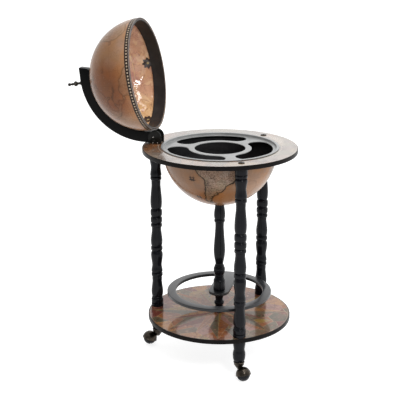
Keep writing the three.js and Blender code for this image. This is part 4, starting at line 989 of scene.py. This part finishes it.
# ---------------------------------------------------------------- bottle rail: a ring with a tongue that ends round the post
R, TONGUE, LOBE, FIL = 131.5, 31.0, -4.0, 13.0
cy = TONGUE + FIL
cx = math.sqrt((R - FIL) ** 2 - cy ** 2)
ang = math.degrees(math.atan2(cy, cx))
loop = arc(0, 0, R, ang, 360 - ang, 132)
loop += arc(cx, -cy, FIL, -ang, 90, 10)[1:]
loop += arc(LOBE, 0, TONGUE, -90, -270, 40)
loop += arc(cx, cy, FIL, -90, ang, 10)[:-1]
build("bottle_rail", [plate([circle(157.0, 144), loop], 190.7, 199.5, 1.4, 4)], stand, "stand", M_RAIL, ("bottle_ring",), sharp=40)

# ---------------------------------------------------------------- bowl
LIP_TOP, LIP_BOT, LIP_R = 631.7, 628.7, 175.0
a_out = math.acos((BOWL_Z - LIP_BOT) / BOWL_R)
a_in = math.acos((BOWL_Z - LIP_TOP) / BOWL_IN)
prof, mats = [(BOWL_IN * math.sin(a_in), LIP_TOP), (LIP_R - 0.4, LIP_TOP), (LIP_R, LIP_TOP - 0.4), (LIP_R, LIP_BOT + 0.4), (LIP_R - 0.4, LIP_BOT)], [1] * 5
for i in range(111):
    t = a_out * (1 - i / 110) if i < 110 else 0.012
    prof.append((BOWL_R * math.sin(t) if i < 110 else 4.5, BOWL_Z - BOWL_R * math.cos(t)))
    mats.append(0)
mats[-1] = 1
for i in range(36):
    t = a_in * i / 36
    prof.append((max(BOWL_IN * math.sin(t), 4.5), BOWL_Z - BOWL_IN * math.cos(t)))
    mats.append(1)
build("bowl_shell", [lathe(prof, 360, loop=True, mats=mats)], stand, "stand", [M_BOWL, M_INNER], ("bowl",), sharp=40,
      extra=lambda q: coast_distance((q - [0, 0, BOWL_Z]) / np.maximum(np.linalg.norm(q - [0, 0, BOWL_Z], axis=1, keepdims=True), 1e-9)))

# ---------------------------------------------------------------- bottle holder
FL_R, H_TOP, P_TOP, P_BOT, WALL = 172.0, 647.3, 640.8, 638.3, 165.2
rim = [(WALL, 645.3), (FL_R - 0.5, 645.3), (FL_R, 645.8), (FL_R, 646.3)]
rim += [(FL_R - 1.0 + 1.0 * math.cos(rad(t)), H_TOP - 1.0 + 1.0 * math.sin(rad(t))) for t in (22, 45, 68, 90)]
rim += [(WALL - 0.5 + 0.0, H_TOP)]
rim += [(163.6 + 1.0 - 1.0 * math.sin(rad(t)), H_TOP - 1.0 + 1.0 * math.cos(rad(t))) for t in (22, 45, 68, 90)]
rim += [(163.6, P_TOP + 0.9), (163.3, P_TOP + 0.3), (162.6, P_TOP), (161.0, P_TOP - 0.1), (161.0, P_BOT), (WALL, P_BOT)]
body = lathe(rim, 160, loop=True)
MID, HALF, PH = (92.0 + 153.5) / 2, (153.5 - 92.0) / 2, 38.0
loops = [circle(162.6, 160), circle(74.0, 96)]
for az in (30.0, 150.0, 270.0):
    ex, ey = polar(MID, az + PH)
    fx, fy = polar(MID, az - PH)
    lp = arc(0, 0, 153.5, az - PH, az + PH, 32)
    lp += arc(ex, ey, HALF, az + PH, az + PH + 180, 16)[1:]
    lp += arc(0, 0, 92.0, az + PH, az - PH, 24)[1:]
    lp += arc(fx, fy, HALF, az - PH + 180, az - PH + 360, 16)[1:-1]
    loops.append(lp)
deck = plate(loops, P_BOT, P_TOP, 0.9, 4)
build("bottle_holder_moulding", [moved(body, turn=-2.5), moved(deck, turn=-2.5)], stand, "stand", M_HOLDER, ("bottle_holder",), sharp=40)

# ---------------------------------------------------------------- hinge bracket
zb, cy, rr = 645.3, 192.3, 19.4
cz = 685.0 - rr
outline = [(cy - rr, zb), (cy + rr, zb)] + arc(cy, cz, rr, 0, 180, 36)
parts = []
for x0 in (-17.0, 14.0):
    parts.append(to_x(plate([outline, circle(2.8, 24, HINGE[1], HINGE[2])], x0, x0 + 3.0, 0.7, 3)))
web = plate([[(-14.2, 205.0), (14.2, 205.0), (14.2, 211.6), (-14.2, 211.6)], circle(2.6, 20, -7, 209), circle(2.6, 20, 7, 209)], zb, zb + 2.2, 0.4, 2)
parts.append(web)
for yy, zz_ in ((197.0, 664.6), (197.4, 648.6), (184.0, 648.6)):
    dome = [(0.0, -1.2)] + [(2.0 * math.cos(rad(t)), 0.2 + 1.0 * math.sin(rad(t))) for t in (0, 25, 50, 75)] + [(0.0, 1.2)]
    for s in (-1, 1):
        v, f, m = lathe([(2.0, -0.6)] + dome[1:], 20)
        w = np.stack([s * (v[:, 2] + 17.0), v[:, 0] + yy, v[:, 1] + zz_], 1)
        parts.append((w, f, [1] * len(f)))
build("hinge_bracket_arched", parts, stand, "stand", [M_IRON, M_STEEL], ("hinge_bracket",), sharp=35)

pin = [(0.0, -19.4), (2.6, -19.4), (3.6, -19.1), (4.2, -18.5), (4.4, -17.9), (4.4, -17.3), (2.5, -17.3), (2.5, 17.3), (4.4, 17.3), (4.4, 17.9), (4.2, 18.5), (3.6, 19.1), (2.6, 19.4), (0.0, 19.4)]
v, f, m = lathe(pin, 32)
build("hinge_pin_headed", [(np.stack([v[:, 2], v[:, 0] + HINGE[1], v[:, 1] + HINGE[2]], 1), f, m)], stand, "stand", M_IRON, ("hinge_pin",), sharp=35)

# ---------------------------------------------------------------- bolt caps on the table
for side in ("left", "right"):
    cap = [(0.0, 601.0), (4.0, 601.0), (4.0, 645.3), (8.8, 645.3), (9.2, 645.6), (9.2, 646.2), (8.9, 646.7), (8.0, 647.1), (7.4, 646.9), (6.9, 646.9), (6.3, 647.5), (4.6, 648.0), (2.6, 648.2), (2.4, 647.3), (0.0, 647.2)]
    build(f"bolt_cap_{side}", [lathe(cap, 40)], at_leg(side), "stand", M_BRONZE, (f"top_bolt_{side}",), sharp=35)

# ---------------------------------------------------------------- lid
prof, mats = [], []
prof += [(LID_IN + 0.6, -7.3), (LID_R - 0.6, -7.3), (LID_R - 0.15, -7.15), (LID_R, -6.7)]
mats += [2, 2, 2, 3]
for zz_ in (-5.0, -3.0, -1.0, 0.0, 1.5, 3.0, 4.5):
    prof.append((math.sqrt(LID_R ** 2 - max(zz_, 0.0) ** 2), zz_))
    mats.append(3)
t_band = math.asin(6.5 / LID_R)
for i in range(109):
    t = t_band + (math.pi / 2 - t_band) * i / 108
    prof.append((max(LID_R * math.cos(t), 3.3), LID_R * math.sin(t)))
    mats.append(0)
mats[-1] = 2
for i in range(48, -1, -1):
    t = math.pi / 2 * i / 48
    prof.append((max(LID_IN * math.cos(t), 3.3), LID_IN * math.sin(t)))
    mats.append(1)
prof += [(LID_IN, -6.7), (LID_IN + 0.15, -7.15)]
mats += [2, 2]
build("lid_shell_printed", [lathe(prof, 360, loop=True, mats=mats)], lid, "lid", [M_LID, M_SKY, M_RIM, M_BAND], ("lid_shell",), sharp=40,
      extra=lambda q: coast_distance(q / np.maximum(np.linalg.norm(q, axis=1, keepdims=True), 1e-9)))

ro, t_l = LID_IN - 1.2, 3.0
prof = []
for zz_ in (-6.4, 0.0, 8.0, 16.0, 24.0, 28.6):
    prof.append((math.sqrt(ro * ro - max(zz_, 0) ** 2) - 0.05, zz_))
prof += [(prof[-1][0] - 0.6, 29.0)]
inner = [(math.sqrt(ro * ro - max(zz_, 0) ** 2) - t_l, zz_) for zz_ in (-6.3, 0.0, 8.0, 16.0, 24.0, 28.4)][::-1]
prof += [(inner[0][0] + 0.6, 29.0)] + inner + [(inner[-1][0] + 0.6, -6.8), (prof[0][0] - 0.5, -6.8)]
build("lid_rim_strip", [lathe(prof, 192, loop=True)], lid, "lid", M_LINER, ("lid_rim_liner",), sharp=40)

# ---------------------------------------------------------------- arm
def arm_out(a):
    t = min(max((a - 95.0) / 8.5, 0.0), 1.0)
    return 199.0 + 3.2 * t * t


A0, A1, EASE = 0.0, 103.5, 13.0
TURN = math.degrees(math.asin(EASE / (168.0 + EASE)))
outer = [tuple(np.array(polar(1.0, a)) * arm_out(a)) for a in np.linspace(A0, A1 - 0.4, 150)]
outer.append(tuple(np.array(polar(1.0, A1)) * (arm_out(A1) - 1.4)))
cx, cy = polar(168.0 + EASE, A1 - TURN)
tip = arc(cx, cy, EASE, A1 + 90, A1 - TURN + 180, 14)
innr = [polar(168.0, a) for a in np.linspace(A1 - TURN, A0, 140)][1:]
blade = to_x(plate([outer + tip + innr], -13.5, 13.5, 1.5, 4))
lug = to_x(plate([circle(9.0, 48, HINGE[1], HINGE[2] - LID_Z), circle(2.8, 24, HINGE[1], HINGE[2] - LID_Z)], -13.2, 13.2, 1.0, 3))
build("meridian_arm_curved", [blade, lug], lid, "lid", M_ARM, ("meridian_arm",), sharp=35)

# ---------------------------------------------------------------- finial, nuts, spacers, rim screw
fin = turned([
    [(6.0, 199.3), (6.4, 200.0), (6.5, 202.4), (6.1, 203.8)],
    [(6.1, 203.8), (4.9, 204.9), (4.0, 206.8)],
    [(4.0, 206.8), (3.75, 209.5), (3.9, 213.2)],
    [(3.9, 213.2), (5.8, 215.0), (7.5, 217.5), (7.95, 219.5), (7.5, 221.5), (5.6, 223.7), (3.5, 225.0)],
    [(3.5, 225.0), (3.4, 226.2), (3.9, 229.0), (3.5, 232.2), (2.4, 235.2)],
    [(2.4, 235.2), (3.9, 236.6), (4.8, 239.0), (4.75, 240.8), (3.9, 242.7), (2.2, 244.1), (1.0, 244.5), (0.0, 244.6)],
], 4)
rows = [(0.0, 147.0), (2.7, 147.0), (3.0, 147.4), (3.0, 199.3)] + [r_ for r_ in fin if r_[0] > 1e-6] + [(0.0, 244.6)]
build("finial_turned", [lathe(rows, 48)], lid, "lid", M_BRONZE, ("finial",), sharp=30)


def hex_nut(af, r_in, z_a, z_b):
    """A chamfered nut: the corners are cut back at both faces."""
    n = 48
    ang = np.arange(n) * 2 * math.pi / n
    d = (ang + math.pi / 6) % (math.pi / 3) - math.pi / 6
    hexr = (af / 2) / np.cos(d)
    verts, faces = [], []
    rings_ = [(np.full(n, r_in), z_a), (np.minimum(hexr, af / 2 * 0.985), z_a), (np.minimum(hexr, af / 2 * 1.02), z_a + 0.25), (hexr, z_a + 0.8), (hexr, z_b - 0.8), (np.minimum(hexr, af / 2 * 1.02), z_b - 0.25), (np.minimum(hexr, af / 2 * 0.985), z_b), (np.full(n, r_in), z_b)]
    for rr_, z_ in rings_:
        verts.append(np.stack([rr_ * np.cos(ang), rr_ * np.sin(ang), np.full(n, z_)], 1))
    k = len(rings_)
    for i in range(k):
        j = (i + 1) % k
        for t in range(n):
            u_ = (t + 1) % n
            faces.append((i * n + t, i * n + u_, j * n + u_, j * n + t))
    return np.vstack(verts), faces, [0] * len(faces)


build("pole_nut_hex", [hex_nut(11.0, 3.3, 153.6, 158.9)], lid, "lid", M_STEEL, ("pole_nut",), sharp=25)
sp = lambda r_i, r_o, a_, b_: [(r_i, a_), (r_o - 0.5, a_), (r_o, a_ + 0.5), (r_o, b_ - 0.5), (r_o - 0.5, b_), (r_i, b_)]
build("pole_spacer_round", [lathe(sp(3.3, 8.0, 163.3, 167.5), 32, loop=True)], lid, "lid", M_INNER, ("pole_spacer",), sharp=30)
build("rim_spacer_round", [lean(lathe(sp(2.3, 6.0, 163.3, 167.5), 32, loop=True), 75.5)], lid, "lid", M_INNER, ("rim_spacer",), sharp=30)
screw = [(0.0, 156.6), (1.2, 156.6), (1.3, 155.9), (2.6, 156.1), (4.0, 156.9), (4.6, 157.7), (4.6, 158.2), (2.0, 158.2), (2.0, 186.0), (0.0, 186.0)]
build("rim_screw_domed", [lean(lathe(screw, 32), 75.5)], lid, "lid", M_STEEL, ("rim_screw",), sharp=30)

# ---------------------------------------------------------------- casters
CUP = [(0.0, 31.5), (3.0, 31.5), (3.0, 40.0), (12.6, 40.0), (13.7, 40.3), (14.6, 41.2), (15.1, 42.6), (15.2, 44.2), (15.2, 47.0), (15.5, 47.6), (15.95, 48.1),
       (16.15, 48.9), (16.15, 50.4), (15.95, 51.1), (15.5, 51.5), (15.1, 51.5), (14.8, 51.3), (14.8, 45.7), (4.0, 45.7), (4.0, 75.0), (0.0, 75.0)]
HOOD_TILT = 18.0
for side in LEG_AZ:
    build(f"caster_cup_{side}_rolled", [lathe(CUP, 48)], at_leg(side), "stand", M_BRASS, (f"caster_cup_{side}",), sharp=30)
    cc = (25.0, 0.0, 20.0)
    R_o, R_i = 22.0, 20.95
    cut_z = -1.5
    prof = []
    for i in range(25):
        t = rad(90 - (90 + math.degrees(math.asin(1.5 / R_o))) * i / 24)
        prof.append((max(R_o * math.cos(t), 0.0), R_o * math.sin(t)))
    prof += [(22.5, -1.1), (22.85, -1.45), (22.8, -1.95), (22.3, -2.15), (21.3, -1.95)]
    for i in range(25):
        t = rad(-math.degrees(math.asin(1.2 / R_i)) + (90 + math.degrees(math.asin(1.2 / R_i))) * i / 24)
        prof.append((max(R_i * math.cos(t), 0.0), R_i * math.sin(t)))
    sv, sf, sm = lathe(prof, 64)
    ct, st = math.cos(rad(HOOD_TILT)), math.sin(rad(HOOD_TILT))
    shell = (np.stack([sv[:, 0] * ct - sv[:, 2] * st, sv[:, 1], sv[:, 0] * st + sv[:, 2] * ct], 1) + np.array(cc), sf, sm)
    neck = [(3.4, 28.0), (6.1, 28.0), (6.8, 29.4), (7.8, 31.2), (9.8, 34.0), (11.6, 36.6), (12.4, 38.0), (12.6, 38.8), (12.4, 39.4), (11.9, 39.7), (3.4, 39.7)]
    boss = lathe(neck, 40, loop=True)
    # the saddle is stepped, so that it stays clear of the wheels
    saddle = plate([[(-1.5, -6.6), (4.4, -7.0), (5.9, -5.2), (6.1, 0.0), (5.9, 5.2), (4.4, 7.0), (-1.5, 6.6), (-4.0, 3.5), (-4.8, 0.0), (-4.0, -3.5)], circle(3.5, 20)], 28.2, 33.6, 1.0, 4)
    saddle_up = plate([[(-1.5, -6.6), (6.4, -7.6), (8.4, -5.8), (8.8, 0.0), (8.4, 5.8), (6.4, 7.6), (-1.5, 6.6), (-4.0, 3.5), (-4.8, 0.0), (-4.0, -3.5)], circle(3.5, 20)], 32.7, 36.2, 1.0, 4)
    strip = [(-5.5, 0.0)] + arc(0, 0, 5.5, 180, 360, 14)[1:] + [(5.5, 20.2), (-5.5, 20.2)]
    sv, sf, sm = to_x(plate([strip, circle(2.3, 16)], -1.2, 1.2, 0.3, 2))
    fin_ = (rot_z(sv, 16.0) + np.array(cc), sf, sm)
    build(f"caster_hood_{side}_shell", [shell, boss, saddle, saddle_up, fin_], at_leg(side, True), f"caster_{side}", M_BRASS, (f"caster_hood_{side}",), sharp=32)
    DOME = [(0.0, 11.8), (2.3, 11.8), (2.3, 1.8), (3.0, 1.6), (17.6, 1.6), (19.4, 1.7), (20.0, 2.3), (19.95, 3.4), (19.7, 4.6), (19.35, 5.6), (19.15, 5.9), (18.75, 6.0), (18.45, 6.3), (18.2, 7.7), (17.4, 9.7), (16.2, 11.6), (14.7, 13.3), (12.9, 14.9), (10.9, 16.3), (8.8, 17.5), (8.4, 17.9), (7.9, 17.9), (7.4, 18.1), (5.2, 19.0), (2.8, 19.6), (0.0, 19.8)]
    for tag, s in (("outer", 1), ("inner", -1)):
        pr = DOME if s > 0 else [(r_, -z_) for r_, z_ in DOME]
        build(f"wheel_{tag}_{side}_domed", [along(lathe(pr, 56), 16.0, cc)], at_leg(side, True), f"wheels_{side}", M_WHEEL, (f"wheel_{tag}_{side}",), sharp=26)

# ---------------------------------------------------------------- carried-over nodes
KEPT = {
    M_STEEL_O: ["post_rod", "post_nut_lower", "post_nut_upper", "foot_stud_back", "foot_stud_left", "foot_stud_right", "top_stud_back", "axle_back", "axle_left", "axle_right", "bracket_screw_near", "bracket_screw_far"],
    M_INNER_O: ["bowl_floor"],
}
for mt, names in KEPT.items():
    for nm in names:
        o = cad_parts[nm]
        if not o.material_slots:
            o.data.materials.append(mt)
        for s_ in o.material_slots:
            s_.material = mt

# ---------------------------------------------------------------- floor, light, camera
fl = bpy.data.meshes.new("floor")
n, R_f = 96, 40.0
fv = [(0.0, 0.0, -0.0005)] + [(R_f * math.cos(2 * math.pi * i / n), R_f * math.sin(2 * math.pi * i / n), -0.0005) for i in range(n)]
fl.from_pydata(fv, [], [(0, i + 1, (i + 1) % n + 1) for i in range(n)])
fl.update()
gf = Mat("pale_floor", Specular_IOR_Level=0.15)
pn = gf.noise(gf.obj(), 3.0, 3.0, 0.5)
gf.color(gf.mix(gf.step(pn, 0.3, 0.7), (0.45, 0.45, 0.45), (0.465, 0.465, 0.463)))
gf.bsdf.inputs["Roughness"].default_value = 0.7
gf.bsdf.inputs["Emission Color"].default_value = (1.0, 1.0, 1.0, 1.0)
gf.bsdf.inputs["Emission Strength"].default_value = 0.81
fl.materials.append(gf.mat)
floor = bpy.data.objects.new("floor", fl)
bpy.context.scene.collection.objects.link(floor)

YAW, PITCH = rad(13.644), rad(-16.972)
fwd = Vector((math.cos(PITCH) * math.cos(YAW), math.cos(PITCH) * math.sin(YAW), math.sin(PITCH)))
side_v = Vector((math.sin(YAW), -math.cos(YAW), 0.0))
cam_at = Vector((-2.8435, -0.6304 + OY, 1.3709))
cd = bpy.data.cameras.new("camera")
cd.lens = 92.87
cd.sensor_width = 36.0
cd.clip_end = 200.0
cam = bpy.data.objects.new("camera", cd)
cam.location = cam_at
cam.rotation_euler = fwd.to_track_quat("-Z", "Y").to_euler()
bpy.context.scene.collection.objects.link(cam)
bpy.context.scene.camera = cam

AIM = Vector((0.0, 0.1 + OY, 0.75))


def area(name, az, el, dist, size, power):
    """A round soft light at an azimuth and elevation round the object."""
    ld = bpy.data.lights.new(name, "AREA")
    ld.shape = "DISK"
    ld.size = size
    ld.energy = power
    lo = bpy.data.objects.new(name, ld)
    p = AIM + Vector((math.cos(rad(az)) * math.cos(rad(el)), math.sin(rad(az)) * math.cos(rad(el)), math.sin(rad(el)))) * dist
    lo.location = p
    lo.rotation_euler = (AIM - p).to_track_quat("-Z", "Y").to_euler()
    lo.visible_camera = False
    bpy.context.scene.collection.objects.link(lo)
    return lo


area("key", -145.0, 29.0, 2.6, 0.62, 28.0)
area("upper", -139.0, 60.0, 2.6, 0.60, 12.0)
area("top", -60.0, 80.0, 2.4, 1.5, 20.0)

world = bpy.data.worlds.new("studio")
bpy.context.scene.world = world
world.use_nodes = True
wt = world.node_tree
wt.nodes.clear()
wo = wt.nodes.new("ShaderNodeOutputWorld")
bg_cam = wt.nodes.new("ShaderNodeBackground")
bg_cam.inputs[0].default_value = (1, 1, 1, 1)
bg_cam.inputs[1].default_value = 1.25
bg = wt.nodes.new("ShaderNodeBackground")
mixs = wt.nodes.new("ShaderNodeMixShader")
lp = wt.nodes.new("ShaderNodeLightPath")
tc = wt.nodes.new("ShaderNodeTexCoord")


def lit(direction, lo, hi, a, b):
    """World strength that rises along a direction."""
    dot = wt.nodes.new("ShaderNodeVectorMath")
    dot.operation = "DOT_PRODUCT"
    dot.inputs[1].default_value = direction
    mr = wt.nodes.new("ShaderNodeMapRange")
    mr.interpolation_type = "SMOOTHSTEP"
    for k_, v_ in enumerate((lo, hi, a, b)):
        mr.inputs[k_ + 1].default_value = v_
    wt.links.new(tc.outputs["Generated"], dot.inputs[0])
    wt.links.new(dot.outputs["Value"], mr.inputs[0])
    return mr.outputs[0]


mul = wt.nodes.new("ShaderNodeMath")
mul.operation = "MULTIPLY"
wt.links.new(lit((math.cos(YAW), math.sin(YAW), 0.30), -0.70, 0.60, 0.40, 1.50), mul.inputs[0])
wt.links.new(lit((math.sin(YAW), -math.cos(YAW), 0.0), -0.9, 0.9, 0.70, 1.34), mul.inputs[1])
wt.links.new(mul.outputs[0], bg.inputs[1])
bg.inputs[0].default_value = (1, 1, 1, 1)
wt.links.new(lp.outputs["Is Camera Ray"], mixs.inputs[0])
wt.links.new(bg.outputs[0], mixs.inputs[1])
wt.links.new(bg_cam.outputs[0], mixs.inputs[2])
wt.links.new(mixs.outputs[0], wo.inputs[0])

bpy.context.scene.view_settings.view_transform = "Standard"
bpy.context.scene.view_settings.look = "None"
